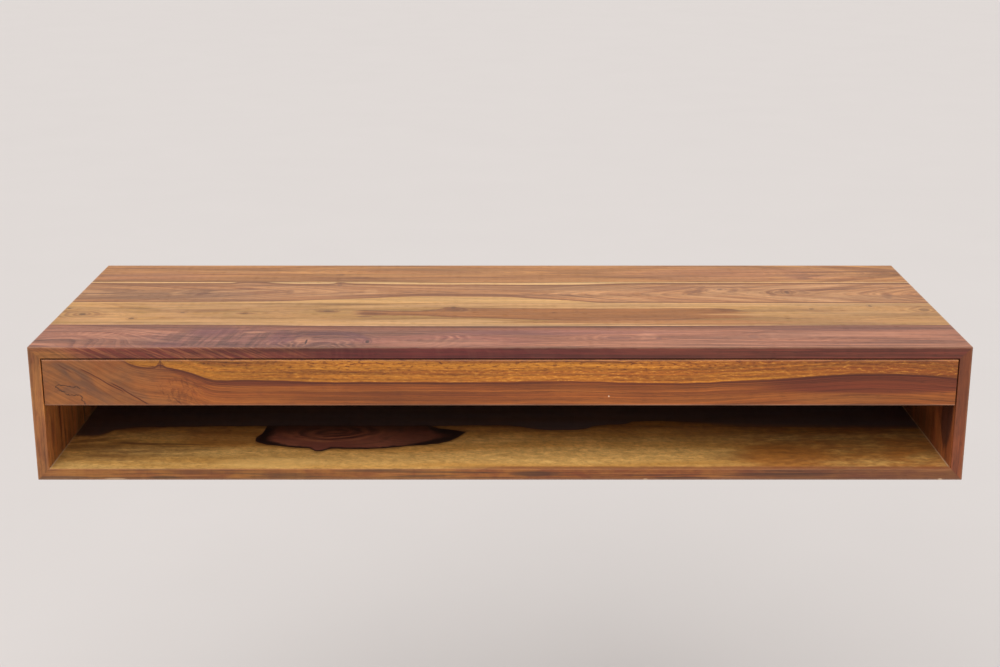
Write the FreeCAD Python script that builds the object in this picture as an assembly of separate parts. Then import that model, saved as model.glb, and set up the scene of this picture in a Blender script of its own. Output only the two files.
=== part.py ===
import FreeCAD, Part
import math
import os

from FreeCAD import Vector

# Wall desk: a mitred hardwood box with a full-width drawer over an open shelf, hung on a bevelled cleat.
# Millimetres. +X is to the right and +Z up. The wall is the plane Y = 0 and the desk stands out towards -Y.
# The origin is on the wall, in the middle of the line of screws that holds the wall cleat.

# ---- carcass ----
width = 1100.0
depth = 400.0
height = 165.0
board = 14.0
edge_radius = 0.8
front_stave = 94.5
mid_front_stave = 102.5
mid_rear_stave = 109.0
bottom_front_stave = 152.0
bottom_middle_stave = 128.0
cut_margin = 1.0

# ---- splines across the mitres ----
spline_thickness = 3.0
spline_width = 10.0
spline_from_inside = 9.0
spline_front_stop = 12.0
spline_rear_stop = 6.0
spline_play = 0.05

# ---- back panel, cleats and batten ----
back_thickness = 6.0
back_groove = 5.0
back_play = 0.2
cleat_thickness = 18.0
cleat_play = 0.5
cleat_end_gap = 2.0
hanging_cleat_height = 40.0
wall_cleat_height = 52.0
wall_cleat_end_gap = 36.0
wall_hole_count = 4
wall_hole_inset = 50.0
wall_hole_radius = 3.25
wall_countersink_radius = 6.5
batten_height = 24.0
cleat_screw_count = 5
cleat_screw_inset = 54.0
batten_screw_count = 4
batten_screw_inset = 44.0
locking_hole_inset = 134.0
locking_hole_radius = 2.75
back_screw_length = 20.0

# ---- drawer ----
drawer_gap = 1.5
drawer_front_height = 56.0
drawer_front_thickness = 14.0
drawer_board = 12.0
drawer_box_drop = 5.5
drawer_box_rise = 4.5
drawer_rear_gap = 11.5
drawer_bottom_thickness = 5.0
drawer_bottom_rise = 6.0
drawer_bottom_groove = 5.0
drawer_bottom_play = 0.15
tail_count = 3
tail_slope = 1.0 / 6.0
pin_width = 3.0
front_screw_count = 4
front_screw_inset = 61.0
front_screw_length = 20.0

# ---- runners ----
runner_space = 12.7
runner_height = 35.0
runner_sheet = 1.2
runner_bend_radius = 1.6
runner_set_back = 2.0
outer_member_gap = 2.9
middle_member_gap = 1.5
screw_head_gap = 1.2
member_gap = 1.0
lip_play = 0.4
ball_radius = 1.4
race_play = 0.1
ball_count = 6
retainer_sheet = 0.4
retainer_play = 0.4
retainer_lip_play = 0.4
retainer_margin = 12.5
pocket_play = 0.15
runner_screw_inset = 24.0
inner_screw_shift = 40.0
access_hole_radius = 4.5
web_hole_radius = 2.2
web_hole_pitch = 32.0
bumper_length = 6.0
bumper_gap = 0.3

# ---- release levers on the drawer members ----
lever_length = 45.0
lever_height = 5.0
lever_thickness = 2.5
lever_pivot_shift = 9.0
lever_play = 0.3
lever_steps = 3
rivet_radius = 1.5
rivet_play = 0.05
rivet_head_radius = 2.6
rivet_head_height = 0.6

# ---- screws ----
screw_radius = 1.75
screw_play = 0.05
pan_head_radius = 3.3
pan_head_height = 1.8
flat_head_radius = 3.5
flat_head_height = 2.4
runner_screw_length = 11.0
recess_width = 0.9
recess_length = 3.6
recess_depth = 1.0

# ---- places worked out from the sizes above ----
half_width = width / 2
inner_half = half_width - board
bevel = cleat_thickness
top_z = board + hanging_cleat_height + bevel + (wall_cleat_height - bevel) / 2
bottom_z = top_z - height
ceiling_z = top_z - board
shelf_z = bottom_z + board
front_y = -depth
wall_cleat_half = inner_half - wall_cleat_end_gap
cleat_half = inner_half - cleat_end_gap
back_rear_y = -(cleat_thickness + cleat_play)
back_front_y = back_rear_y - back_thickness
lip_z = ceiling_z - hanging_cleat_height
batten_z = shelf_z + batten_height / 2
cleat_screw_z = (ceiling_z + lip_z) / 2

box_front_y = front_y + drawer_front_thickness
box_rear_y = back_front_y - drawer_rear_gap
box_half = inner_half - runner_space
front_top_z = ceiling_z - drawer_gap
front_low_z = front_top_z - drawer_front_height
box_top_z = front_top_z - drawer_box_drop
box_bottom_z = front_low_z + drawer_box_rise
box_inner_half = box_half - drawer_board
runner_z = (box_top_z + box_bottom_z) / 2
runner_front_y = box_front_y + runner_set_back
runner_rear_y = box_rear_y + runner_set_back
runner_length = runner_rear_y - runner_front_y
runner_middle_y = (runner_front_y + runner_rear_y) / 2
member_rear_y = runner_rear_y - bumper_length - bumper_gap

outer_half = runner_height / 2
middle_half = outer_half - runner_sheet - 2 * (ball_radius + race_play)
inner_half_height = middle_half - runner_sheet - 2 * (ball_radius + race_play)
outer_ball_z = middle_half + race_play + ball_radius
inner_ball_z = inner_half_height + race_play + ball_radius
retainer_length = runner_length / 2 - 2 * retainer_margin

# How far each member of a runner stands off the carcass side.
outer_member_reach = runner_space - outer_member_gap
middle_member_start = runner_sheet + pan_head_height + screw_head_gap
middle_member_reach = runner_space - middle_member_gap
inner_member_start = middle_member_start + runner_sheet + member_gap
inner_web_place = runner_space - runner_sheet
outer_ball_place = (middle_member_start + outer_member_reach - runner_sheet) / 2
inner_ball_place = (inner_member_start + middle_member_reach - runner_sheet) / 2

# The top and the sides are cut from one glued-up panel, so their joints line up round the corners.
stave_edges = [
    front_y,
    front_y + front_stave,
    front_y + front_stave + mid_front_stave,
    front_y + front_stave + mid_front_stave + mid_rear_stave,
    0.0,
]
stave_names = ["front", "mid_front", "mid_rear", "rear"]
bottom_edges = [
    front_y,
    front_y + bottom_front_stave,
    front_y + bottom_front_stave + bottom_middle_stave,
    0.0,
]
bottom_names = ["front", "middle", "rear"]


def block(x0, x1, y0, y1, z0, z1):
    """An upright box between two corners."""
    return Part.makeBox(x1 - x0, y1 - y0, z1 - z0, Vector(x0, y0, z0))


def prism(points, way):
    """A closed outline pushed along a vector."""
    outline = Part.makePolygon(points + [points[0]])
    return Part.Face(outline).extrude(way)


def bar(outline, y0, y1):
    """A section in X and Z that runs from y0 to y1."""
    return prism([Vector(x, y0, z) for x, z in outline], Vector(0, y1 - y0, 0))


def rod(x, y, z, radius, way):
    """A round rod that starts at a point and runs along a vector."""
    return Part.makeCylinder(radius, way.Length, Vector(x, y, z), way)


def eased(solid, wanted):
    """The solid with a small round on each edge that wanted() picks."""
    edges = [e for e in solid.Edges if wanted(e.CenterOfMass)]
    return solid.makeFillet(edge_radius, edges)


def joined(shapes):
    """Several separate solids as one group."""
    return Part.makeCompound(shapes)


def without(solid, cutters):
    """The solid less every cutter that reaches it."""
    for cutter in cutters:
        if solid.BoundBox.intersect(cutter.BoundBox):
            solid = solid.cut(cutter)
    return solid


def both_sides(left):
    """A left-hand shape and its mirror image, by side."""
    right = left.mirror(Vector(0, 0, 0), Vector(1, 0, 0))
    return {"left": left, "right": right}


def near(a, b):
    return abs(a - b) < 0.01


# ---- screws, each built along +Z with its head at the origin and turned into place ----
def cross_recess():
    arm = recess_width / 2
    half = recess_length / 2
    across = block(-half, half, -arm, arm, -recess_depth, cut_margin)
    along = block(-arm, arm, -half, half, -recess_depth, cut_margin)
    return across.fuse(along)


def placed(shape, point, way):
    """A shape built along +Z, moved to a point and turned to point along a vector."""
    turn = FreeCAD.Rotation(Vector(0, 0, 1), way)
    moved = shape.copy()
    moved.Placement = FreeCAD.Placement(point, turn)
    return moved


def pan_screw(point, way, length):
    """A pan-head screw: way points from the tip to the head, and point is under the head."""
    head = Part.makeCylinder(pan_head_radius, pan_head_height)
    rim = [e for e in head.Edges if near(e.CenterOfMass.z, pan_head_height)]
    head = head.makeFillet(pan_head_height / 2, rim)
    recess = cross_recess().translated(Vector(0, 0, pan_head_height))
    shank = Part.makeCylinder(screw_radius, length, Vector(0, 0, -length))
    return placed(head.fuse(shank).cut(recess), point, way)


def flat_screw(point, way, length):
    """A countersunk screw: point is in the middle of its flat head, which faces along way."""
    head = Part.makeCone(screw_radius, flat_head_radius, flat_head_height, Vector(0, 0, -flat_head_height))
    shank = Part.makeCylinder(screw_radius, length, Vector(0, 0, -length))
    return placed(head.fuse(shank).cut(cross_recess()), point, way)


def screw_group(make, points, way, length):
    """Screws of one kind at several points, as one group."""
    return joined([make(p, way, length) for p in points])


def screw_hole(point, way, length):
    """The hole that a screw's shank goes into, with the screw's own play."""
    depth_in = length + screw_play
    hole = Part.makeCylinder(screw_radius + screw_play, depth_in, Vector(0, 0, -depth_in))
    return placed(hole, point, way)


def flat_head_seat(point, way):
    """The countersink that a flat head lies in, with the screw's own play."""
    lower = screw_radius + screw_play
    upper = flat_head_radius + screw_play
    return placed(Part.makeCone(lower, upper, flat_head_height, Vector(0, 0, -flat_head_height)), point, way)


def spread(count, half):
    """Evenly spaced places from -half to half."""
    return [-half + 2 * half * i / (count - 1) for i in range(count)]


# ---- where every screw goes ----
facing_front = Vector(0, -1, 0)
facing_rear = Vector(0, 1, 0)
cleat_screw_xs = spread(cleat_screw_count, cleat_half - cleat_screw_inset)
cleat_screw_points = [Vector(x, back_front_y, cleat_screw_z) for x in cleat_screw_xs]
batten_screw_xs = spread(batten_screw_count, cleat_half - batten_screw_inset)
batten_screw_points = [Vector(x, back_front_y, batten_z) for x in batten_screw_xs]
front_screw_y = box_front_y + drawer_board
front_screw_xs = spread(front_screw_count, box_inner_half - front_screw_inset)
front_screw_points = [Vector(x, front_screw_y, runner_z) for x in front_screw_xs]
runner_screw_ys = [runner_front_y + runner_screw_inset, runner_middle_y, runner_rear_y - runner_screw_inset]
inner_screw_ys = [runner_screw_ys[0], runner_middle_y + inner_screw_shift, runner_screw_ys[2]]


def side_points(ys, u):
    """Points on the left runner, at the distance u from the carcass side."""
    return [Vector(-inner_half + u, y, runner_z) for y in ys]


outer_screw_points = side_points(runner_screw_ys, runner_sheet)
inner_screw_points = side_points(inner_screw_ys, inner_web_place)
facing_drawer = Vector(1, 0, 0)
facing_side = Vector(-1, 0, 0)


# ---- carcass ----
def carcass_ring():
    """The mitred box before it is parted: open at front and rear, with its arrises eased."""
    outside = block(-half_width, half_width, front_y, 0, bottom_z, top_z)
    inside = block(-inner_half, inner_half, front_y - cut_margin, cut_margin, shelf_z, ceiling_z)

    def arris(c):
        at_front = near(c.y, front_y)
        along_corner = near(abs(c.x), half_width) and (near(c.z, top_z) or near(c.z, bottom_z))
        return at_front or along_corner

    return eased(outside.cut(inside), arris)


def mitre_region(name, y0, y1):
    """The wedge that one board takes out of the ring, cut at 45 degrees at both ends."""
    out_x, out_top, out_low = half_width + cut_margin, top_z + cut_margin, bottom_z - cut_margin
    outer = {"left_top": (-out_x, out_top), "right_top": (out_x, out_top)}
    outer.update({"left_low": (-out_x, out_low), "right_low": (out_x, out_low)})
    inner = {"left_top": (-inner_half, ceiling_z), "right_top": (inner_half, ceiling_z)}
    inner.update({"left_low": (-inner_half, shelf_z), "right_low": (inner_half, shelf_z)})
    corners = {
        "top": ("left_top", "right_top"),
        "bottom": ("right_low", "left_low"),
        "left": ("left_low", "left_top"),
        "right": ("right_top", "right_low"),
    }
    a, b = corners[name]
    return bar([outer[a], outer[b], inner[b], inner[a]], y0, y1)


def spline_at(side, end, play):
    """The spline in one mitre, or with play the slot for it. It lies across the mitre, near the inside."""
    middle_x = side * (inner_half + spline_from_inside / math.sqrt(2))
    corner_z = ceiling_z if end > 0 else shelf_z
    middle_z = corner_z + end * spline_from_inside / math.sqrt(2)
    half_w = spline_width / 2 + play
    half_t = spline_thickness / 2 + play
    y0 = front_y + spline_front_stop - play
    y1 = back_front_y - spline_rear_stop + play
    strip = block(-half_w, half_w, y0, y1, -half_t, half_t)
    strip.rotate(Vector(0, 0, 0), Vector(0, 1, 0), side * end * 45)
    strip.translate(Vector(middle_x, 0, middle_z))
    return strip


def corner_splines(play=0.0):
    sides = {"left": -1, "right": 1}
    ends = {"top": 1, "bottom": -1}
    return {f"corner_spline_{e}_{s}": spline_at(sides[s], ends[e], play) for e in ends for s in sides}


def back_panel_box(play):
    """The back panel's outline, or with play the groove that it sits in."""
    over = back_groove - back_play + play
    return block(
        -inner_half - over,
        inner_half + over,
        back_front_y - play,
        back_rear_y + play,
        shelf_z - over,
        ceiling_z + over,
    )


def runner_pilot_holes():
    left = joined([screw_hole(p, facing_drawer, runner_screw_length) for p in outer_screw_points])
    return list(both_sides(left).values())


def carcass_boards():
    """Every stave of the top, bottom and sides, by node name."""
    ring = carcass_ring()
    cutters = list(corner_splines(spline_play).values())
    cutters.append(back_panel_box(back_play))
    cutters += runner_pilot_holes()
    plans = {f"top_stave_{n}": ("top", i) for i, n in enumerate(stave_names)}
    plans.update({f"left_side_stave_{n}": ("left", i) for i, n in enumerate(stave_names)})
    plans.update({f"right_side_stave_{n}": ("right", i) for i, n in enumerate(stave_names)})
    plans.update({f"bottom_stave_{n}": ("bottom", i) for i, n in enumerate(bottom_names)})
    boards = {}
    for name, (panel, i) in plans.items():
        edges = bottom_edges if panel == "bottom" else stave_edges
        region = mitre_region(panel, edges[i], edges[i + 1])
        boards[name] = without(ring.common(region), cutters)
    return boards


def locking_holes():
    way = Vector(0, -back_front_y + 2 * cut_margin, 0)
    start_y = back_front_y - cut_margin
    xs = spread(2, cleat_half - locking_hole_inset)
    return [rod(x, start_y, batten_z, locking_hole_radius, way) for x in xs]


def back_panel():
    screws = cleat_screw_points + batten_screw_points
    seats = [flat_head_seat(p, facing_front) for p in screws]
    holes = [screw_hole(p, facing_front, back_screw_length) for p in screws]
    return without(back_panel_box(0.0), seats + holes + locking_holes())


def hanging_cleat():
    """The desk's own cleat: its lower edge is bevelled down towards the wall."""
    wall_face = back_rear_y + cleat_thickness
    section = [
        Vector(-cleat_half, back_rear_y, ceiling_z),
        Vector(-cleat_half, wall_face, ceiling_z),
        Vector(-cleat_half, wall_face, lip_z - cleat_thickness),
        Vector(-cleat_half, back_rear_y, lip_z),
    ]
    holes = [screw_hole(p, facing_front, back_screw_length) for p in cleat_screw_points]
    return without(prism(section, Vector(2 * cleat_half, 0, 0)), holes)


def wall_cleat():
    """The cleat on the wall: its upper edge rises away from the wall and carries the hanging cleat."""
    front = -cleat_thickness
    contact = lip_z - cleat_play
    low = contact - wall_cleat_height
    section = [
        Vector(-wall_cleat_half, 0, low),
        Vector(-wall_cleat_half, 0, contact - cleat_thickness),
        Vector(-wall_cleat_half, front, contact),
        Vector(-wall_cleat_half, front, low),
    ]
    through = Vector(0, cleat_thickness + 2 * cut_margin, 0)
    sink = wall_countersink_radius - wall_hole_radius
    cutters = []
    for x in spread(wall_hole_count, wall_cleat_half - wall_hole_inset):
        mouth = Vector(x, front, 0)
        cutters.append(rod(x, front - cut_margin, 0, wall_hole_radius, through))
        cutters.append(Part.makeCone(wall_countersink_radius, wall_hole_radius, sink, mouth, facing_rear))
    return without(prism(section, Vector(2 * wall_cleat_half, 0, 0)), cutters)


def lower_batten():
    body = block(-cleat_half, cleat_half, back_rear_y, 0, shelf_z, shelf_z + batten_height)
    holes = [screw_hole(p, facing_front, back_screw_length) for p in batten_screw_points]
    return without(body, holes + locking_holes())


# ---- drawer ----
def tails(x0, x1, end_y, inward):
    """The tails at one end of a drawer side. They are widest at the very end."""
    pitch = (box_top_z - box_bottom_z) / tail_count
    base_y = end_y + inward * drawer_board
    made = []
    for i in range(tail_count):
        middle = box_bottom_z + (i + 0.5) * pitch
        wide = pitch / 2 - pin_width / 2
        narrow = wide - drawer_board * tail_slope
        section = [
            Vector(x0, end_y, middle - wide),
            Vector(x0, end_y, middle + wide),
            Vector(x0, base_y, middle + narrow),
            Vector(x0, base_y, middle - narrow),
        ]
        made.append(prism(section, Vector(x1 - x0, 0, 0)))
    return made


def drawer_bottom_box(play):
    """The drawer's bottom, or with play the groove that it sits in."""
    over = drawer_bottom_groove - drawer_bottom_play + play
    low = box_bottom_z + drawer_bottom_rise
    return block(
        -box_inner_half - over,
        box_inner_half + over,
        box_front_y + drawer_board - over,
        box_rear_y - drawer_board + over,
        low - play,
        low + drawer_bottom_thickness + play,
    )


def drawer_side():
    """The left side of the drawer box, with tails at both ends."""
    x0, x1 = -box_half, -box_inner_half
    front_base = box_front_y + drawer_board
    rear_base = box_rear_y - drawer_board
    body = block(x0, x1, front_base, rear_base, box_bottom_z, box_top_z)
    body = eased(body, lambda c: near(c.z, box_top_z) and not near(c.x, (x0 + x1) / 2))
    body = body.multiFuse(tails(x0, x1, box_front_y, 1) + tails(x0, x1, box_rear_y, -1)).removeSplitter()
    holes = [screw_hole(p, facing_side, runner_screw_length - runner_sheet) for p in inner_screw_points]
    return without(body, [drawer_bottom_box(drawer_bottom_play)] + holes)


def drawer_cross_board(end_y, inward):
    """The board across one end of the drawer box, with pins between the sides' tails."""
    y0, y1 = sorted((end_y, end_y + inward * drawer_board))
    body = block(-box_half, box_half, y0, y1, box_bottom_z, box_top_z)
    body = eased(body, lambda c: near(c.z, box_top_z) and near(c.x, 0) and not near(c.y, box_front_y))
    left = joined(tails(-box_half, -box_inner_half, end_y, inward))
    sockets = list(both_sides(left).values())
    holes = [screw_hole(p, facing_rear, front_screw_length) for p in front_screw_points]
    return without(body, sockets + holes + [drawer_bottom_box(drawer_bottom_play)])


def drawer_front():
    half = inner_half - drawer_gap
    body = block(-half, half, front_y, box_front_y, front_low_z, front_top_z)
    body = eased(body, lambda c: near(c.y, front_y))
    holes = [screw_hole(p, facing_rear, front_screw_length) for p in front_screw_points]
    return without(body, holes)


# ---- runners: the left one is built, at the distance u from the carcass side, and mirrored ----
def at(u):
    return -inner_half + u


def rounded_along(body, corners, radius):
    """A runner section with its lengthwise edges rounded at some corners, above and below the middle."""

    def at_corner(c):
        return any(near(c.x, at(u)) and near(abs(c.z - runner_z), w) for u, w in corners)

    return body.makeFillet(radius, [e for e in body.Edges if at_corner(e.CenterOfMass)])


def channel(start, end, half, rear_y, lip=None):
    """A C section from start to end, open towards end, with lips turned in as far as lip if it is given."""
    s = runner_sheet if end > start else -runner_sheet
    upper = [(start, half), (end, half)]
    if lip is None:
        upper.append((end, half - abs(s)))
    else:
        upper += [(end, lip), (end - s, lip), (end - s, half - abs(s))]
    upper.append((start + s, half - abs(s)))
    lower = [(u, -w) for u, w in reversed(upper)]
    body = bar([(at(u), runner_z + w) for u, w in upper + lower], runner_front_y, rear_y)
    outside = [(start, half)]
    inside = [(start + s, half - abs(s))]
    if lip is not None:
        outside.append((end, half))
        inside.append((end - s, half - abs(s)))
    body = rounded_along(body, outside, runner_bend_radius)
    return rounded_along(body, inside, runner_bend_radius - runner_sheet)


def web_holes(start, ys, radius):
    """Holes through the web of a runner member."""
    way = Vector(runner_sheet + 2 * race_play, 0, 0)
    return [rod(at(start - race_play), y, runner_z, radius, way) for y in ys]


def spare_hole_ys(taken, clear):
    """The places of the stamped spare holes, away from the ends and from what is fixed there."""
    count = int((runner_length - 2 * runner_screw_inset) / web_hole_pitch)
    ys = [runner_front_y + runner_screw_inset + (i + 0.5) * web_hole_pitch for i in range(count)]
    return [y for y in ys if all(abs(y - t) > clear for t in taken)]


def outer_member():
    body = channel(0, outer_member_reach, outer_half, runner_rear_y, middle_half + lip_play)
    spare = spare_hole_ys(runner_screw_ys, 2 * pan_head_radius)
    holes = web_holes(0, spare, web_hole_radius)
    holes += web_holes(0, runner_screw_ys, screw_radius + screw_play)
    return without(body, holes)


def middle_member():
    lip = inner_half_height + lip_play
    body = channel(middle_member_start, middle_member_reach, middle_half, member_rear_y, lip)
    return without(body, web_holes(middle_member_start, runner_screw_ys, access_hole_radius))


lever_pivot_y = runner_middle_y - lever_pivot_shift
lever_rear_y = lever_pivot_y + lever_height / 2
lever_front_y = lever_rear_y - lever_length
lever_end = inner_web_place - lever_play
lever_start = lever_end - lever_thickness


def inner_member():
    body = channel(runner_space, inner_member_start, inner_half_height, member_rear_y)
    behind_lever = [lever_front_y + i * lever_length / lever_steps for i in range(lever_steps + 1)]
    clearance = 2 * pan_head_radius
    spare = spare_hole_ys(inner_screw_ys + behind_lever, clearance)
    holes = web_holes(inner_web_place, spare, web_hole_radius)
    holes += web_holes(inner_web_place, inner_screw_ys, screw_radius + screw_play)
    holes += web_holes(inner_web_place, [lever_pivot_y], rivet_radius + screw_play)
    return without(body, holes)


def rear_bumper():
    """The block clipped into the outer member, which stops the drawer with its front flush."""
    x0, x1 = at(runner_sheet), at(outer_member_reach)
    z0, z1 = runner_z - middle_half, runner_z + middle_half
    return block(x0, x1, runner_rear_y - bumper_length, runner_rear_y, z0, z1)


def ball_ys():
    pitch = retainer_length / ball_count
    first = runner_middle_y - retainer_length / 2 + pitch / 2
    return [first + i * pitch for i in range(ball_count)]


def balls(place, ball_z):
    """Two rows of balls, above and below the middle of a runner."""
    points = [Vector(at(place), y, runner_z + side * ball_z) for y in ball_ys() for side in (1, -1)]
    return joined([Part.makeSphere(ball_radius, p) for p in points])


def retainer(start, end, ball_place, ball_z):
    """The strip that keeps the balls of one stage apart, folded round into two rows of pockets."""
    half = ball_z + retainer_sheet / 2
    t = retainer_sheet
    upper = [(start, half), (end, half), (end, half - t), (start + t, half - t)]
    lower = [(u, -w) for u, w in reversed(upper)]
    y0 = runner_middle_y - retainer_length / 2
    y1 = runner_middle_y + retainer_length / 2
    body = bar([(at(u), runner_z + w) for u, w in upper + lower], y0, y1)
    way = Vector(0, 0, 2 * half + 2 * retainer_play)
    low = runner_z - half - retainer_play
    pockets = [rod(at(ball_place), y, low, ball_radius + pocket_play, way) for y in ball_ys()]
    return without(body, pockets)


def outer_retainer():
    start = middle_member_start - retainer_play - retainer_sheet
    end = outer_member_reach - runner_sheet - retainer_lip_play
    return retainer(start, end, outer_ball_place, outer_ball_z)


def inner_retainer():
    start = inner_member_start - retainer_play / 2 - retainer_sheet
    end = middle_member_reach - runner_sheet - retainer_lip_play
    return retainer(start, end, inner_ball_place, inner_ball_z)


def release_lever():
    """The tongue that is flicked up or down to free the drawer. It turns on a rivet in the drawer member."""
    z0, z1 = runner_z - lever_height / 2, runner_z + lever_height / 2
    body = block(at(lever_start), at(lever_end), lever_front_y, lever_rear_y, z0, z1)
    way = Vector(lever_thickness, 0, 0)
    bore = rod(at(lever_start), lever_pivot_y, runner_z, rivet_radius + rivet_play, way)
    ends = [e for e in body.Edges if near(e.CenterOfMass.x, at((lever_start + lever_end) / 2))]
    return body.makeFillet(lever_height / 2 - race_play, ends).cut(bore)


def lever_rivet():
    start = lever_start - lever_play / 2
    shank = rod(at(start), lever_pivot_y, runner_z, rivet_radius, Vector(runner_space - start, 0, 0))
    head = rod(at(start), lever_pivot_y, runner_z, rivet_head_radius, Vector(-rivet_head_height, 0, 0))
    return shank.fuse(head).removeSplitter()


def runner_nodes():
    """Every piece of both runners, by node name."""
    inner_length = runner_screw_length - runner_sheet
    left = {
        "runner_outer_member": outer_member(),
        "runner_middle_member": middle_member(),
        "runner_inner_member": inner_member(),
        "runner_rear_bumper": rear_bumper(),
        "outer_ball_retainer": outer_retainer(),
        "inner_ball_retainer": inner_retainer(),
        "outer_balls": balls(outer_ball_place, outer_ball_z),
        "inner_balls": balls(inner_ball_place, inner_ball_z),
        "release_lever": release_lever(),
        "lever_rivet": lever_rivet(),
        "outer_runner_screws": screw_group(pan_screw, outer_screw_points, facing_drawer, runner_screw_length),
        "inner_runner_screws": screw_group(pan_screw, inner_screw_points, facing_side, inner_length),
    }
    nodes = {}
    for name, shape in left.items():
        for side, made in both_sides(shape).items():
            nodes[f"{name}_{side}"] = made
    return nodes


def all_nodes():
    nodes = carcass_boards()
    nodes.update(corner_splines())
    nodes["back_panel"] = back_panel()
    nodes["hanging_cleat"] = hanging_cleat()
    nodes["wall_cleat"] = wall_cleat()
    nodes["lower_batten"] = lower_batten()
    back_screws = {"hanging_cleat_screws": cleat_screw_points, "batten_screws": batten_screw_points}
    for name, points in back_screws.items():
        nodes[name] = screw_group(flat_screw, points, facing_front, back_screw_length)
    nodes["drawer_front"] = drawer_front()
    nodes["drawer_sub_front"] = drawer_cross_board(box_front_y, 1)
    nodes["drawer_back"] = drawer_cross_board(box_rear_y, -1)
    for side, made in both_sides(drawer_side()).items():
        nodes[f"drawer_side_{side}"] = made
    nodes["drawer_bottom"] = drawer_bottom_box(0.0)
    nodes["drawer_front_screws"] = screw_group(pan_screw, front_screw_points, facing_rear, front_screw_length)
    nodes.update(runner_nodes())
    return nodes


os.makedirs("parts", exist_ok=True)
for node, shape in all_nodes().items():
    shape.exportStep(f"parts/{node}.step")
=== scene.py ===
import math
import bpy
import numpy as np
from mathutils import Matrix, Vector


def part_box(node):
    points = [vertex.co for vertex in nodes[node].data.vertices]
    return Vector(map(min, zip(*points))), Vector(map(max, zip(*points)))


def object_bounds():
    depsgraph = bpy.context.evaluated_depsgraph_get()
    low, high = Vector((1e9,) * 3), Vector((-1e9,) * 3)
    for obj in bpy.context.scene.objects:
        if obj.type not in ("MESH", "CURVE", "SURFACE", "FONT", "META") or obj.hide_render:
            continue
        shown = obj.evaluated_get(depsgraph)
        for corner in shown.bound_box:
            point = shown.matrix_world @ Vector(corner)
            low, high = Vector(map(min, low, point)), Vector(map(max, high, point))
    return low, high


print("desk: loading the frame")
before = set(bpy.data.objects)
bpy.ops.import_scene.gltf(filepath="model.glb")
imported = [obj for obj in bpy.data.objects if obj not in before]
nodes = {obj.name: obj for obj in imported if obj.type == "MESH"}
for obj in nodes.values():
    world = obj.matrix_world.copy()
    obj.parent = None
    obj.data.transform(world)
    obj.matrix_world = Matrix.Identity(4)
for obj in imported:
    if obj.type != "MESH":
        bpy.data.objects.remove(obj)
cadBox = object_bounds()
halfWidth, depth = cadBox[1].x, -cadBox[0].y
topLevel, bottomLevel = cadBox[1].z, cadBox[0].z
mm = 0.001
boardThickness = 14 * mm


def tone(red, green, blue):  # a colour from 0 to 255, as linear light
    parts = []
    for value in (red, green, blue):
        share = value / 255
        parts.append(share / 12.92 if share < 0.0405 else ((share + 0.055) / 1.055) ** 2.4)
    return (*parts, 1)


class Wire:  # an output socket that takes plain arithmetic
    def __init__(self, draft, socket):
        self.draft = draft
        self.socket = socket

    def __add__(self, other):
        return self.draft.calc("ADD", self, other)

    def __sub__(self, other):
        return self.draft.calc("SUBTRACT", self, other)

    def __rsub__(self, other):
        return self.draft.calc("SUBTRACT", other, self)

    def __mul__(self, other):
        return self.draft.calc("MULTIPLY", self, other)

    def __truediv__(self, other):
        return self.draft.calc("DIVIDE", self, other)

    def __pow__(self, other):
        return self.draft.calc("POWER", self, other)

    def __abs__(self):
        return self.draft.calc("ABSOLUTE", self)

    __radd__ = __add__
    __rmul__ = __mul__


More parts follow.
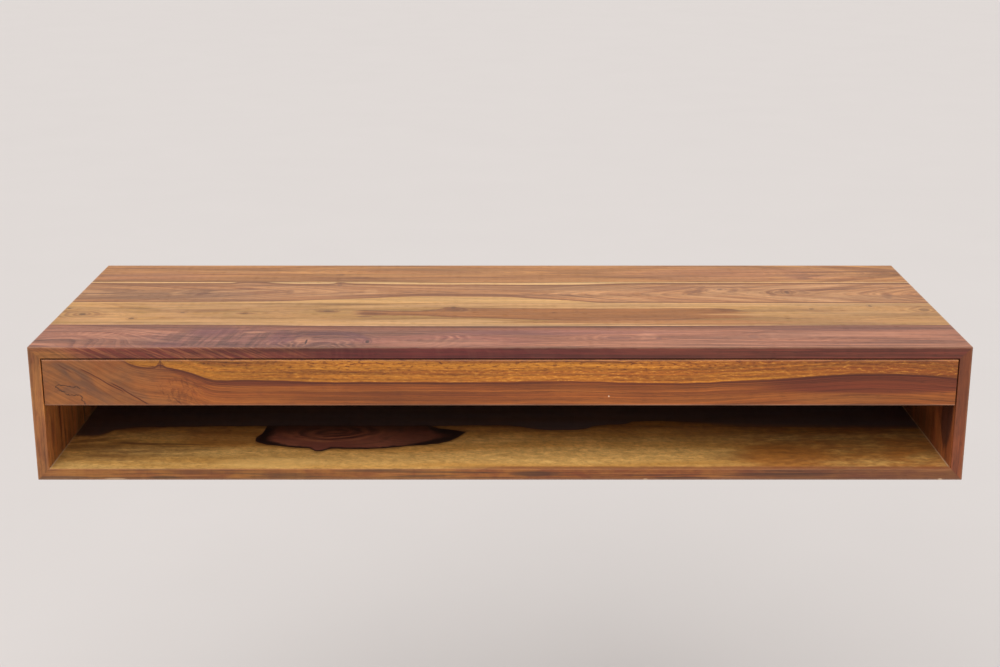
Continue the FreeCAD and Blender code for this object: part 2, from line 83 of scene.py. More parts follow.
class Draft:  # draws nodes into one tree
    def __init__(self, tree):
        self.tree = tree

    def plug(self, value, socket):  # a colour is given by three values from 0 to 255
        if isinstance(value, Wire):
            self.tree.links.new(value.socket, socket)
        else:
            socket.default_value = tone(*value) if socket.type == "RGBA" else value

    def put(self, kind, plugs=None, **settings):
        node = self.tree.nodes.new("ShaderNode" + kind)
        for name, value in settings.items():
            setattr(node, name, value)
        for name, value in (plugs or {}).items():
            self.plug(value, node.inputs[name])
        return node

    def wire(self, node, output=0):
        return Wire(self, node.outputs[output])

    def calc(self, operation, *values):
        node = self.put("Math", operation=operation)
        for value, socket in zip(values, node.inputs):
            self.plug(value, socket)
        return self.wire(node)

    def smaller(self, *values):
        result = values[0]
        for value in values[1:]:
            result = self.calc("MINIMUM", result, value)
        return result

    def larger(self, *values):
        result = values[0]
        for value in values[1:]:
            result = self.calc("MAXIMUM", result, value)
        return result

    def step(self, value, low, high, start=0, end=1):  # eases from start at low to end at high
        plugs = {"Value": value, "From Min": low, "From Max": high, "To Min": start, "To Max": end}
        return self.wire(self.put("MapRange", plugs, interpolation_type="SMOOTHSTEP"))

    def split(self, vector):
        node = self.put("SeparateXYZ", {0: vector})
        return [self.wire(node, i) for i in range(3)]

    def join(self, x, y, z):
        return self.wire(self.put("CombineXYZ", {0: x, 1: y, 2: z}))

    def noise(self, place, detail=2, roughness=0.5, scale=1):  # place is a vector or three values
        place = self.join(*place) if isinstance(place, tuple) else place
        plugs = {"Vector": place, "Scale": scale, "Detail": detail, "Roughness": roughness}
        return self.wire(self.put("TexNoise", plugs))

    def noiseTriple(self, place, detail):
        node = self.put("TexNoise", {"Vector": self.join(*place), "Scale": 1, "Detail": detail})
        return self.split(self.wire(node, 1))

    def noiseAlong(self, value, detail=1):
        plugs = {"W": value, "Scale": 1, "Detail": detail}
        return self.wire(self.put("TexNoise", plugs, noise_dimensions="1D"))

    def mix(self, share, first, second):
        return self.wire(self.put("Mix", {0: share, 6: first, 7: second}, data_type="RGBA"), 2)

    def shade(self, colour, amount):
        return self.wire(self.put("VectorMath", {0: colour, 3: amount}, operation="SCALE"))

    def ramp(self, value, wood):  # through the three tones of a wood
        node = self.put("ValToRGB", {0: value})
        points = node.color_ramp.elements
        for index, name in enumerate(("dark", "middle", "light")):
            point = points[index] if index < 2 else points.new(1)
            point.position = index / 2
            point.color = tone(*wood[name])
        return self.wire(node)

    def use(self, group, plugs):
        node = self.put("Group", node_tree=group)
        for name, value in plugs.items():
            self.plug(value, node.inputs[name])
        return {output.name: Wire(self, output) for output in node.outputs}

    def line(self, along, points):  # a height that follows given points along the board
        xs = [p[0] * mm for p in points]
        ys = [p[1] * mm for p in points]
        low, high = min(ys) - mm, max(ys) + mm
        share = (along - xs[0]) / (xs[-1] - xs[0])
        node = self.put("FloatCurve", {1: share})
        curve = node.mapping.curves[0]
        for index, (x, y) in enumerate(zip(xs, ys)):
            place = ((x - xs[0]) / (xs[-1] - xs[0]), (y - low) / (high - low))
            if index == 0:
                curve.points[0].location = place
            elif index == len(xs) - 1:
                curve.points[len(curve.points) - 1].location = place
            else:
                curve.points.new(*place)
        node.mapping.update()
        return self.wire(node) * (high - low) + low


def toolGroup(name, takes, gives, build):  # a shader group with named inputs and outputs
    tree = bpy.data.node_groups.new(name, "ShaderNodeTree")
    for label, value in takes.items():
        kind = "NodeSocketVector" if value is None else "NodeSocketFloat"
        socket = tree.interface.new_socket(label, in_out="INPUT", socket_type=kind)
        if value is not None:
            socket.default_value = value
    kinds = {"Colour": "NodeSocketColor", "Grain": "NodeSocketVector"}
    for label in gives:
        kind = kinds.get(label, "NodeSocketFloat")
        tree.interface.new_socket(label, in_out="OUTPUT", socket_type=kind)
    draft = Draft(tree)
    entry = tree.nodes.new("NodeGroupInput")
    leave = tree.nodes.new("NodeGroupOutput")
    results = build(draft, {label: Wire(draft, entry.outputs[label]) for label in takes})
    for label in gives:
        draft.plug(results[label], leave.inputs[label])
    return tree


print("desk: shared shader groups")


def drawUnfoldedGrain(d, take):
    # the sides carry on from the top: past the mitre plane the height turns into length along the grain
    x, y, z = d.split(take["Place"])
    out = abs(x) - halfWidth
    up = z - topLevel
    onSide = d.calc("GREATER_THAN", out - up, 0)
    turned = d.calc("SIGN", x) * (halfWidth - up)
    along = x + onSide * (turned - x)
    inwards = up + onSide * (out - up)
    return {"Grain": d.join(along, y + depth, inwards)}


def drawGrowthRings(d, take):
    # rings = (distance from the pith line - flow) over the spacing: a flow that grows along the board makes
    # arches that open that way, and a hump in it makes an eye
    x, y, z = d.split(take["Grain"])
    seed = take["Seed"]
    slowAcross, slowFlow, _ = d.noiseTriple((x * 2.6 + seed, y * 7, z * 7 + seed), 1)
    ripple = d.noise((x * 15 + seed, y * 48, z * 48), 3)
    across = y - take["Centre"] + (slowAcross - 0.5) * take["Wander"]
    deep = z - take["Pith Depth"]
    radius = (across * across + deep * deep) ** 0.5 + (ripple - 0.5) * take["Ripple"]
    return {"Rings": (radius - take["Flow"] + (slowFlow - 0.5) * take["Wander"]) / take["Spacing"]}


def drawRingTone(d, take):
    # broad bands from slow noise along the rings, uneven ring widths, a dark late line and a pale early one
    rings, seed = take["Rings"], take["Seed"]
    broad = d.noiseAlong(rings * 0.31 + seed, 2)
    amount = d.noiseAlong(rings * 0.83 + seed * 3.1, 1)
    part = d.calc("FRACT", rings + d.noiseAlong(rings * 0.6 + seed * 2.3, 1) * 1.6)
    late = d.step(part, 0.52, 0.95) * d.step(part, 1, 0.97)
    early = d.step(part, 0, 0.1) * d.step(part, 0.5, 0.14)
    quick = d.noiseAlong(rings * 1.7 + seed * 1.7, 1)
    return {
        "Band": d.step(broad, 0.32, 0.68),
        "Late": late * d.step(amount, 0.3, 0.62, 0.15, 1),
        "Early": early * d.step(amount, 0.7, 0.4),
        "Line": d.step(abs(quick - 0.5), 0.07, 0),
    }


def drawFibre(d, take):
    # long streaks, short thin pore dashes that crowd in places, and soft clouds along the grain
    x, y, z = d.split(take["Grain"])
    seed = take["Seed"]
    thin = take["Streaks"]
    streak = d.noise((x * 3.4 + seed, y * thin, z * thin), 6, 0.7)
    pore = d.noise((x * 80 + seed, y * 1700, z * 1700), 0)
    crowd = d.noise((x * 6 + seed, y * 60, z * 60), 2)
    cloud = d.noise((x * 2.6 + seed, y * thin * 0.45, z * thin * 0.45), 3)
    return {
        "Streak": d.step(streak, 0.32, 0.68),
        "Pore": d.step(pore, 0.6, 0.72) * d.step(crowd, 0.3, 0.6, 0.3, 1),
        "Cloud": d.step(cloud, 0.3, 0.7),
    }


def drawMottle(d, take):
    # soft blotches, twice as long as wide
    x, y, z = d.split(take["Grain"])
    size = take["Size"]
    value = d.noise((x * size * 0.5 + take["Seed"], y * size, z * size), 4, 0.62)
    return {"Mottle": d.step(value, 0.36, 0.64)}


def drawKnot(d, take):
    # swell = a bell over the knot, which bends the rings round it; core = its dark heart
    x, y, _ = d.split(take["Grain"])
    along = (x - take["Along"]) / take["Length"]
    across = (y - take["Across"]) / take["Width"]
    far = along * along + across * across
    ragged = d.noise((x * 160, y * 420, take["Along"]), 2)
    return {
        "Swell": d.calc("EXPONENT", far * -1),
        "Core": d.step(far + (ragged - 0.5) * 0.9, 0.6, 0.08),
        "Halo": d.step(abs(far - 1.3), 0.9, 0),
    }


def drawPatch(d, take):
    # a lens along the grain: across its middle line and along its length, each over its half size
    x, y, _ = d.split(take["Grain"])
    past = x - take["Along"]
    along = past / take["Length"]
    across = (y - take["Across"] - past * take["Slope"]) / take["Width"]
    rag = d.noise((x * 22, y * 150, take["Along"]), 3)
    far = along * along + across * across + (rag - 0.5) * take["Rag"]
    return {"Mask": d.step(far, 1 + take["Soft"], 1 - take["Soft"])}


def drawEye(d, take):
    # nested ellipses round a centre, bent and broken, each a soft dark line and a pale one; Lean X and Lean Y
    # keep only the part on that side, All keeps the whole
    x, y, _ = d.split(take["Grain"])
    bend = d.noiseTriple((x * 17, y * 30, take["Along"]), 3)
    along = (x - take["Along"]) / take["Length"] + (bend[0] - 0.5) * 0.7
    across = (y - take["Across"]) / take["Width"] + (bend[1] - 0.5) * 0.7
    far = (along * along + across * across) ** 0.5
    part = d.calc("FRACT", far * take["Count"] + (bend[2] - 0.5) * 1.2)
    side = d.larger(d.step(along * take["Lean X"] + across * take["Lean Y"], -0.3, 0.5), take["All"])
    fade = d.step(far, 1.3, 0.6) * d.step(bend[2], 0.35, 0.6, 0.2, 1) * side
    return {
        "Dark": d.step(part, 0.3, 0.8) * d.step(part, 1, 0.88) * fade,
        "Pale": d.step(part, 0, 0.16) * d.step(part, 0.5, 0.2) * fade,
    }


def drawHoop(d, take):
    # one soft bent ellipse line; Lean X and Lean Y keep only the part on that side, All keeps the whole
    x, y, _ = d.split(take["Grain"])
    bend = d.noiseTriple((x * 24, y * 44, take["Along"]), 3)
    along = (x - take["Along"]) / take["Length"] + (bend[0] - 0.5) * 0.4
    across = (y - take["Across"]) / take["Width"] + (bend[1] - 0.5) * 0.4
    far = (along * along + across * across) ** 0.5
    side = d.step(along * take["Lean X"] + across * take["Lean Y"], -0.2, 0.6)
    broken = d.step(bend[2], 0.3, 0.6, 0.35, 1)
    return {"Mask": d.step(abs(far - 1), take["Thick"], 0) * d.larger(side, take["All"]) * broken}


def drawArris(d, take):
    # how near a corner edge of the box lies: the sum of the two smallest distances to its faces
    x, y, z = d.split(take["Place"])
    side = halfWidth - abs(x)
    end = d.smaller(y + depth, y * -1)
    face = d.smaller(topLevel - z, z - bottomLevel)
    two = side + end + face - d.larger(side, end, face)
    edgeBreakup = d.noise(take["Place"], 3, 0.6, 55)
    return {"Mask": d.step(two + (edgeBreakup - 0.5) * 0.003, 0.0026, 0.0006)}


unfoldedGrain = toolGroup("unfoldedGrain", {"Place": None}, ["Grain"], drawUnfoldedGrain)
ringInputs = {
    "Grain": None, "Centre": 0, "Pith Depth": -0.05, "Flow": 0,
    "Wander": 0.03, "Ripple": 0.0015, "Spacing": 0.004, "Seed": 0,
}
growthRings = toolGroup("growthRings", ringInputs, ["Rings"], drawGrowthRings)
ringTone = toolGroup("ringTone", {"Rings": 0, "Seed": 0}, ["Band", "Late", "Early", "Line"], drawRingTone)
fibreInputs = {"Grain": None, "Seed": 0, "Streaks": 70}
fibre = toolGroup("fibre", fibreInputs, ["Streak", "Pore", "Cloud"], drawFibre)
mottle = toolGroup("mottle", {"Grain": None, "Seed": 0, "Size": 30}, ["Mottle"], drawMottle)
spotInputs = {"Grain": None, "Along": 0, "Across": 0, "Length": 0.04, "Width": 0.02}
leanInputs = {"Lean X": 0, "Lean Y": 0, "All": 0}
knot = toolGroup("knot", spotInputs, ["Swell", "Core", "Halo"], drawKnot)
patch = toolGroup("patch", {**spotInputs, "Slope": 0, "Rag": 0.6, "Soft": 0.4}, ["Mask"], drawPatch)
eye = toolGroup("eye", {**spotInputs, "Count": 4, **leanInputs}, ["Dark", "Pale"], drawEye)
hoop = toolGroup("hoop", {**spotInputs, "Thick": 0.1, **leanInputs}, ["Mask"], drawHoop)
arris = toolGroup("arris", {"Place": None}, ["Mask"], drawArris)


def spot(grain, along, across, length, width):  # where a mark lies and its half sizes, given in mm
    sizes = {"Along": along, "Across": across, "Length": length, "Width": width}
    return {"Grain": grain, **{name: value / 1000 for name, value in sizes.items()}}


def drawnKnots(d, grain, spots):  # spots hold along, across, length, width, push and darkness
    push, core, halo = 0, 0, 0
    for *place, strength, dark in spots:
        one = d.use(knot, spot(grain, *place))
        push = one["Swell"] * strength + push
        if dark:
            core = d.larger(one["Core"] * dark, core)
            halo = d.larger(one["Halo"] * dark, halo)
    return push, core, halo


def lens(d, grain, along, across, length, width, slope, soft, rag):
    plugs = {"Slope": slope, "Soft": soft, "Rag": rag}
    return d.use(patch, {**spot(grain, along, across, length, width), **plugs})["Mask"]


def blotches(d, grain, seed, size):
    return d.use(mottle, {"Grain": grain, "Seed": seed, "Size": size})["Mottle"]


def onFront(d, y):  # nearly 1 on the face that looks forward, 0 a millimetre behind it
    return d.step(y, 0.0011, 0.0004) * 0.92


class Paint:  # the colour of one board; every mark starts with along, across, half length and half width
    def __init__(self, d, grain, wood, colour, hair=None):
        self.d, self.grain, self.wood, self.colour, self.hair = d, grain, wood, colour, hair

    def over(self, mask, other):  # other is the name of a tone of the wood, or a colour
        other = self.wood[other] if isinstance(other, str) else other
        self.colour = self.d.mix(mask, self.colour, other)

    def shade(self, amount):
        self.colour = self.d.shade(self.colour, amount)

    def wisps(self, name, marks, soft=0.7, rag=1.5):  # marks go on with slope and share
        for *place, share in marks:
            self.over(lens(self.d, self.grain, *place, soft, rag) * share, name)

    def eyes(self, marks, lean=(0, 0), dark="lineColour", pale="light"):
        # marks go on with the number of lines and share; lean keeps the arcs of one side
        for *place, count, share in marks:
            plugs = {"Count": count, "Lean X": lean[0], "Lean Y": lean[1], "All": 0 if any(lean) else 1}
            one = self.d.use(eye, {**spot(self.grain, *place), **plugs})
            self.over(one["Dark"] * share, dark)
            self.over(one["Pale"] * share, pale)

    def hoops(self, name, marks):  # marks go on with line width, lean along, lean across and share
        for *place, thick, leanX, leanY, share in marks:
            plugs = {"Thick": thick / place[3], "Lean X": leanX, "Lean Y": leanY}
            plugs["All"] = 0 if leanX or leanY else 1
            self.over(self.d.use(hoop, {**spot(self.grain, *place), **plugs})["Mask"] * share, name)

    def threads(self, where):  # fine lengthwise lines
        x, y, z = self.d.split(self.grain)
        line = self.d.noise((x * 5, y * 115, z * 115), 3, 0.62)
        self.shade(1 + (self.d.step(line, 0.38, 0.62) - 0.5) * where * self.wood["threads"])

    def sides(self, share=0.85):  # past the mitres the board becomes a side of the desk
        side = self.d.use(sideFigure, {"Grain": self.grain})
        self.over(side["Mask"] * share, side["Colour"])

    def seam(self, y):  # the thin dark lines where the board is glued to its neighbours
        near = self.d.smaller(*(abs(y - place / 1000) for place in self.wood["seams"]))
        self.shade(1 - self.d.step(near, 0.0011, 0.0003) * self.wood["seamShade"])

    def finished(self):  # streaks and pores go over all that is painted below them
        hair, wood = self.hair, self.wood
        self.shade(hair["Streak"] * wood["streak"] + (1 - wood["streak"] / 2))
        self.over(hair["Pore"] * wood["pore"], "poreColour")
        rough = hair["Pore"] * 0.25 + hair["Cloud"] * 0.05 + wood["roughness"]
        height = hair["Streak"] * 0.35 - hair["Pore"]
        return {"Colour": self.colour, "Roughness": rough, "Height": height}


def woodBase(d, grain, wood):  # the rings, knots, lines, streaks and pores that every board has
    push, core, halo = drawnKnots(d, grain, wood["knots"])
    seed = wood["seed"]
    along = d.split(grain)[0]
    plugs = {"Grain": grain, "Pith Depth": wood["pithDepth"] / 1000, "Seed": seed}
    plugs["Centre"] = d.line(along, wood["centre"])
    plugs["Flow"] = d.line(along, wood["flow"])
    for name in ("Wander", "Spacing", "Ripple"):
        plugs[name] = wood[name.lower()] / 1000
    rings = d.use(growthRings, plugs)["Rings"]
    rings = rings + push if wood["knots"] else rings
    ring = d.use(ringTone, {"Rings": rings, "Seed": seed})
    hair = d.use(fibre, {"Grain": grain, "Seed": seed, "Streaks": wood["streaks"]})
    paint = Paint(d, grain, wood, d.ramp(ring["Band"] * 0.7 + hair["Cloud"] * 0.3, wood), hair)
    lines = d.larger(ring["Late"] * wood["late"], ring["Line"] * wood["line"])
    paint.over(lines, "lineColour")
    paint.over(ring["Early"] * wood["early"], "light")
    paint.ring, paint.core, paint.halo = ring, core, halo
    return paint


print("desk: figure of each board")
rosewood = {
    "late": 0.9, "line": 0.35, "early": 0.55, "streak": 0.62, "pore": 0.4, "roughness": 0.4,
    "poreColour": (52, 26, 16), "wander": 30, "ripple": 3, "streaks": 60, "threads": 0.16,
    "seamShade": 0.5, "knots": [],
}
sideWood = {
    "golden": (152, 98, 50), "brown": (122, 70, 38), "dark": (70, 32, 18), "red": (122, 62, 30),
    "redBrown": (104, 53, 26), "purple": (56, 26, 22), "orange": (164, 94, 48),
}


def drawSideFigure(d, take):
    # both sides: golden brown on the left, red-brown on the right, with dark streaks down the board
    grain = take["Grain"]
    x, y, z = d.split(grain)
    right = d.step(x, -0.1, 0.1)
    broad = blotches(d, grain, 131, 34)
    streak = d.noise((x * 5, y * 105, z * 260), 4, 0.65)
    leftColour = d.mix(broad, sideWood["brown"], sideWood["golden"])
    rightColour = d.mix(broad, sideWood["redBrown"], sideWood["red"])
    rightColour = d.shade(rightColour, d.step(x, 0.56, 0.65, 0.82, 1.04))
    paint = Paint(d, grain, sideWood, d.mix(right, leftColour, rightColour))
    front = d.step(y, 0.0012, 0.0004)
    deep = d.step(y, 0.02, 0.07, 0.45, 0.8) + front * 0.15
    paint.over(d.step(streak, 0.46, 0.36) * 0.45, "orange")
    paint.over(d.step(streak, 0.5, 0.66) * deep, "dark")
    patchMask = lens(d, grain, 648, 34, 40, 22, 0.12, 0.35, 0.7)
    inner = d.step(z, -0.0133, -0.0137)
    # painted light: the inner faces of the sides are lightened, more on the left than on the right
    paint.shade(1 + inner * d.step(right, 1, 0, 0.5, 1.15))
    paint.over(patchMask * inner * 0.9, "purple")
    band = lens(d, grain, 680, 62, 30, 16, -0.6, 0.5, 0.8)
    paint.over(band * inner * 0.9, "orange")
    corner = d.step(abs(x), 0.596, 0.556) * front * d.step(right, 0, 1, 0.3, 0.42)
    paint.over(corner, "dark")
    return {"Colour": paint.colour, "Mask": d.step(abs(x), halfWidth - 0.0005, halfWidth + 0.0005)}


sideFigure = toolGroup("sideFigure", {"Grain": None}, ["Colour", "Mask"], drawSideFigure)


frontStave = {
    **rosewood, "seed": 3, "pithDepth": -9, "spacing": 8.5, "wander": 10,
    "seams": (-9, 94.5), "seamShade": 0.2,
    "centre": [
        (-750, -24), (-450, -16), (-370, 6), (-230, 20), (-91, 25), (60, 32), (138, 43), (240, 46), (330, 49),
        (750, 44),
    ],
    "flow": [
        (-750, 90), (-560, 40), (-400, -12), (-340, -18), (-230, 0), (-91, 0), (60, -4), (240, -6), (300, -2),
        (345, 12), (560, 20), (750, 26),
    ],
    "bow": [
        (-750, 97), (-560, 97), (-400, 96), (-300, 94), (-200, 90.5), (0, 88.5), (150, 89.5), (300, 92),
        (450, 94), (560, 94.4), (750, 95),
    ],
    "late": 0.62, "line": 0.5, "ripple": 2, "streak": 0.74,
    "dark": (143, 88, 65), "middle": (168, 106, 79), "light": (191, 129, 99), "lineColour": (104, 58, 46),
    "cool": (114, 72, 68), "warm": (186, 120, 86), "joint": (120, 68, 42), "pink": (178, 106, 92),
    "purple": (124, 74, 74), "beyond": (214, 162, 110), "edge": (92, 36, 25), "edgeLight": (130, 74, 44),
    "edgePurple": (84, 24, 24), "edgeGold": (146, 92, 40), "knotColour": (60, 34, 30),
    "knots": [
        (-215, 8, 70, 60, -7, 0), (-91, 27, 60, 30, -5, 0), (138, 40, 44, 18, -3, 0),
        (-156, 23, 4.5, 11, -1.2, 1), (-480, 52, 90, 50, -7, 0),
    ],
}


def drawTopEdge(d, grain):
    # the edge that faces forward: a golden corner, slanting stripes, then dark purple going over to red-brown
    wood = frontStave
    x, _, z = d.split(grain)
    slant = d.noise(((x + z * 2.4) * 150, z * 30, x * 3), 4, 0.66)
    stripes = d.step(slant, 0.47, 0.62) * d.step(x, -0.17, -0.3) * 0.9
    lengthwise = d.noise((x * 3, z * 330, 4), 4, 0.65)
    hatch = d.noise(((x + z * 1.6) * 420, z * 60, 6), 3, 0.6)
    paint = Paint(d, grain, wood, d.mix(d.step(x, -0.235, -0.185), wood["edge"], wood["edgePurple"]))
    paint.over(d.step(x, 0.02, 0.28), "edge")
    paint.over(stripes * 0.85, "edgeLight")
    calm = d.step(x, -0.3, -0.1)
    paint.shade(1 + (d.step(lengthwise, 0.35, 0.65) - 0.5) * (calm * 0.52 + 0.22))
    corner = d.step(x + z * 1.43 + (slant - 0.5) * 0.05, -0.492, -0.53)
    paint.over(corner * d.step(z, -0.001, -0.009, 0.4, 0.9), "edgeGold")
    paint.shade(1 - (d.step(hatch, 0.45, 0.65) - 0.4) * d.step(x, -0.2, -0.34) * 0.46)
    return paint.colour


def drawFrontStave(d, take):
    grain, wood = take["Grain"], frontStave
    x, y, z = d.split(grain)
    paint = woodBase(d, grain, wood)
    # the cool dark figure on the left, feathered by curls that run almost straight across the grain
    paint.wisps("cool", ((-292, 26, 130, 52, 0, 0.62),), 0.6, 1)
    curl = d.noise(((x - y * 0.16) * 120, y * 8, z * 30), 4, 0.62)
    strips = lens(d, grain, -318, 30, 92, 58, 0, 0.6, 0.6)
    paint.shade(1 + (d.step(curl, 0.4, 0.6) - 0.55) * strips * 0.5)
    paint.wisps("purple", (
        (-345, 66, 28, 22, 0, 0.55), (-260, 34, 12, 34, 0, 0.6), (-206, 58, 44, 9, 0, 0.35),
        (-172, 42, 18, 16, -0.7, 0.45), (64, 62, 140, 12, 0, 0.6), (-390, 10, 20, 12, 0, 0.4),
        (-380, 2, 170, 4, 0, 0.4), (-103, 29, 9, 3, 0, 0.6),
    ))
    paint.eyes((
        (-205, -4, 70, 78, 7, 0.45), (140, 38, 56, 26, 4, 0.4), (330, 44, 90, 30, 4, 0.3),
    ))
    paint.eyes(((-101, 28, 66, 40, 5, 1),), (0.6, 0.3))
    paint.eyes(((-425, 52, 96, 44, 8, 0.5),), (-1, -0.1))
    paint.hoops("purple", ((-203, 18, 46, 42, 8, 0, 1, 0.75),))
    paint.wisps("pink", ((-60, 26, 100, 26, 0, 0.35),), 0.7, 1)
    # calmer and warmer on the right, with a brown strip along the rear joint
    paint.over(d.step(x, -0.05, 0.16) * 0.3, "warm")
    paint.wisps("cool", (
        (140, 38, 20, 8, 0, 0.35), (302, 44, 6, 6, 0, 0.5), (420, 76, 110, 8, 0, 0.4),
        (30, 55, 50, 2, 0, 0.35), (440, 18, 110, 1.5, 0.03, 0.45), (330, 8, 160, 1.5, 0, 0.45),
        (188, 36, 4, 4, 0, 0.5), (490, 28, 50, 2, 0, 0.4),
    ))
    paint.wisps("light", (
        (400, 55, 90, 9, 0, 0.6), (325, 46, 8, 14, 0, 0.5), (175, 46, 12, 12, 0, 0.5),
        (-60, 18, 66, 14, 0, 0.5), (-293, 62, 13, 4, 0, 0.75), (-450, 40, 60, 8, -0.3, 0.35),
        (-232, 30, 10, 16, 0, 0.4), (300, 42, 80, 6, 0, 0.5),
    ))
    paint.threads(d.step(x, -0.18, -0.1) * d.step(x, 0.3, 0.15))
    # the joint with the next board runs in a shallow bow, a brown band before it and pale wood behind
    bow = d.line(x, wood["bow"])
    rear = d.step(y - bow, -0.027, -0.003) * (0.55 + d.step(x, -0.32, -0.2) * d.step(x, 0.42, 0.25) * 0.4)
    paint.over(rear, "joint")
    paint.shade(1 - d.step(y - bow, -0.01, -0.002) * 0.2)
    paint.over(d.step(y - bow, -0.0003, 0.0012), "beyond")
    crack = lens(d, grain, -228, 22, 1.2, 11, 0.06, 0.5, 0.5)
    paint.over(d.larger(paint.core * 0.85, crack * 0.9), "knotColour")
    paint.over(paint.halo * 0.35, "lineColour")
    paint.over(onFront(d, y), drawTopEdge(d, grain))
    paint.sides(0.9)
    paint.seam(y)
    return paint.finished()


midFrontStave = {
    **rosewood, "seed": 11, "pithDepth": -30, "spacing": 10, "seams": (94.5, 190), "seamShade": 0.2,
    "centre": [(-750, 140), (-450, 140), (-200, 152), (100, 150), (394, 166), (750, 150)],
    "flow": [
        (-750, 30), (-520, 20), (-380, -6), (-200, 6), (-60, 0), (160, 0), (330, 8), (394, 16), (535, 0),
        (750, 0),
    ],
    "late": 0.42, "line": 0.3, "early": 0.4, "streak": 0.5,
    "dark": (167, 115, 60), "middle": (187, 133, 70), "light": (205, 154, 90), "lineColour": (126, 76, 40),
    "olive": (160, 118, 52), "tan": (206, 150, 98), "streakColour": (157, 94, 40),
    "streakDark": (116, 64, 24), "orange": (168, 104, 58), "pale": (212, 160, 104), "before": (150, 92, 68),
    "knotColour": (84, 52, 26),
    "upper": [
        (-190, 160), (-150, 159), (-115, 157), (-95, 160), (-72, 170), (-59, 178), (-50, 172), (-30, 171),
        (0, 170.5), (120, 170.5), (240, 170), (285, 168), (303, 158), (330, 150),
    ],
    "lower": [
        (-190, 147), (-170, 140), (-109, 137), (-50, 129.5), (0, 124.5), (30, 120), (59, 117), (126, 114.5),
        (185, 115.5), (235, 120), (330, 124),
    ],
    "knots": [
        (-522, 144, 8, 8, 2.6, 0.95), (-545, 171, 4, 5, 0.8, 0.8), (-456, 124, 6, 6, 1, 0.8),
        (-398, 152, 5, 5, 1, 0.7), (-320, 147, 8, 4, 1, 0.5), (-216, 159, 11, 8, 1.4, 0.55),
        (-59, 176, 6, 10, 1, 0.5), (67, 152, 4, 4, 0.8, 0.6), (97, 158, 4, 5, 0.6, 0.35),
        (394, 169, 6, 5, 1.2, 0.75), (471, 182, 4, 8, 0.7, 0.7), (535, 165, 11, 12, 1.8, 0.6),
    ],
}


def drawMidFrontStave(d, take):
    grain, wood = take["Grain"], midFrontStave
    x, y, z = d.split(grain)
    paint = woodBase(d, grain, wood)
    paint.over(blotches(d, grain, 12, 42) * 0.4, "olive")
    leftTan = d.step(x, -0.15, -0.4) * blotches(d, grain, 15, 26)
    paint.over(leftTan * 0.5, "tan")
    paint.over(d.step(x, 0.22, 0.45) * 0.34, "tan")
    # the brown streak with its darker rims, starting in two dark prongs
    place = y + (d.noise((x * 26, y * 60, z * 60), 3) - 0.5) * 0.005
    upper = d.line(x, wood["upper"])
    lower = d.line(x, wood["lower"])
    inside = d.smaller(d.step(upper - place, 0, 0.0018), d.step(place - lower, -0.001, 0.003))
    ends = d.smaller(d.step(x + place * 0.1, -0.176, -0.15), d.step(x, 0.33, 0.28))
    paint.over(inside * ends * 0.88, "streakColour")
    upperRim = abs(place - upper) * 0.7
    lowerRim = abs(place - lower - 0.0018) * 0.7 + d.step(x, 0.24, 0.3) * 0.01
    near = d.smaller(upperRim, lowerRim)
    paint.over(d.step(near, 0.003, 0) * ends * 0.7, "streakDark")
    paint.wisps("orange", ((205, 106, 160, 12, 0, 0.65),), 0.6, 0.8)
    paint.wisps("streakDark", (
        (-162, 148, 18, 5, -0.1, 0.8), (-168, 132, 10, 3, 0, 0.7), (-55, 168, 14, 10, 0, 0.6),
        (284, 165, 18, 6, -0.2, 0.5), (276, 154, 26, 3, 0.1, 0.45), (-318, 148, 12, 3, -0.1, 0.5),
        (-216, 157, 16, 3.5, -0.15, 0.75), (-155, 159, 26, 2, -0.12, 0.6), (-360, 164, 40, 4, 0, 0.3),
        (-110, 143, 60, 3, -0.12, 0.5), (340, 158, 30, 4, 0, 0.3), (395, 160, 20, 4, -0.3, 0.3),
        (-508, 143, 34, 3, 0, 0.45),
    ))
    paint.wisps("pale", (
        (-200, 99, 380, 4, 0, 0.8), (280, 190, 300, 8, 0, 0.75), (-100, 184, 120, 9, 0.06, 0.6),
        (300, 143, 44, 4, 0, 0.5), (-360, 186, 130, 6, 0, 0.4), (120, 176, 160, 5, 0, 0.6),
        (-380, 172, 60, 5, 0, 0.4), (450, 150, 80, 6, 0, 0.3), (-270, 112, 230, 9, 0, 0.5),
        (-80, 110, 90, 9, 0, 0.8),
    ))
    paint.eyes((
        (-522, 144, 36, 26, 3, 0.4), (535, 165, 34, 18, 3, 0.3), (-59, 164, 30, 16, 3, 0.35),
    ))
    paint.over(paint.core * 0.85, "knotColour")
    paint.over(paint.halo * 0.3, "lineColour")
    bow = d.line(x, frontStave["bow"])
    paint.over(d.step(y - bow, 0.001, -0.0004) * 0.8, "before")
    paint.sides()
    paint.seam(y)
    return paint.finished()


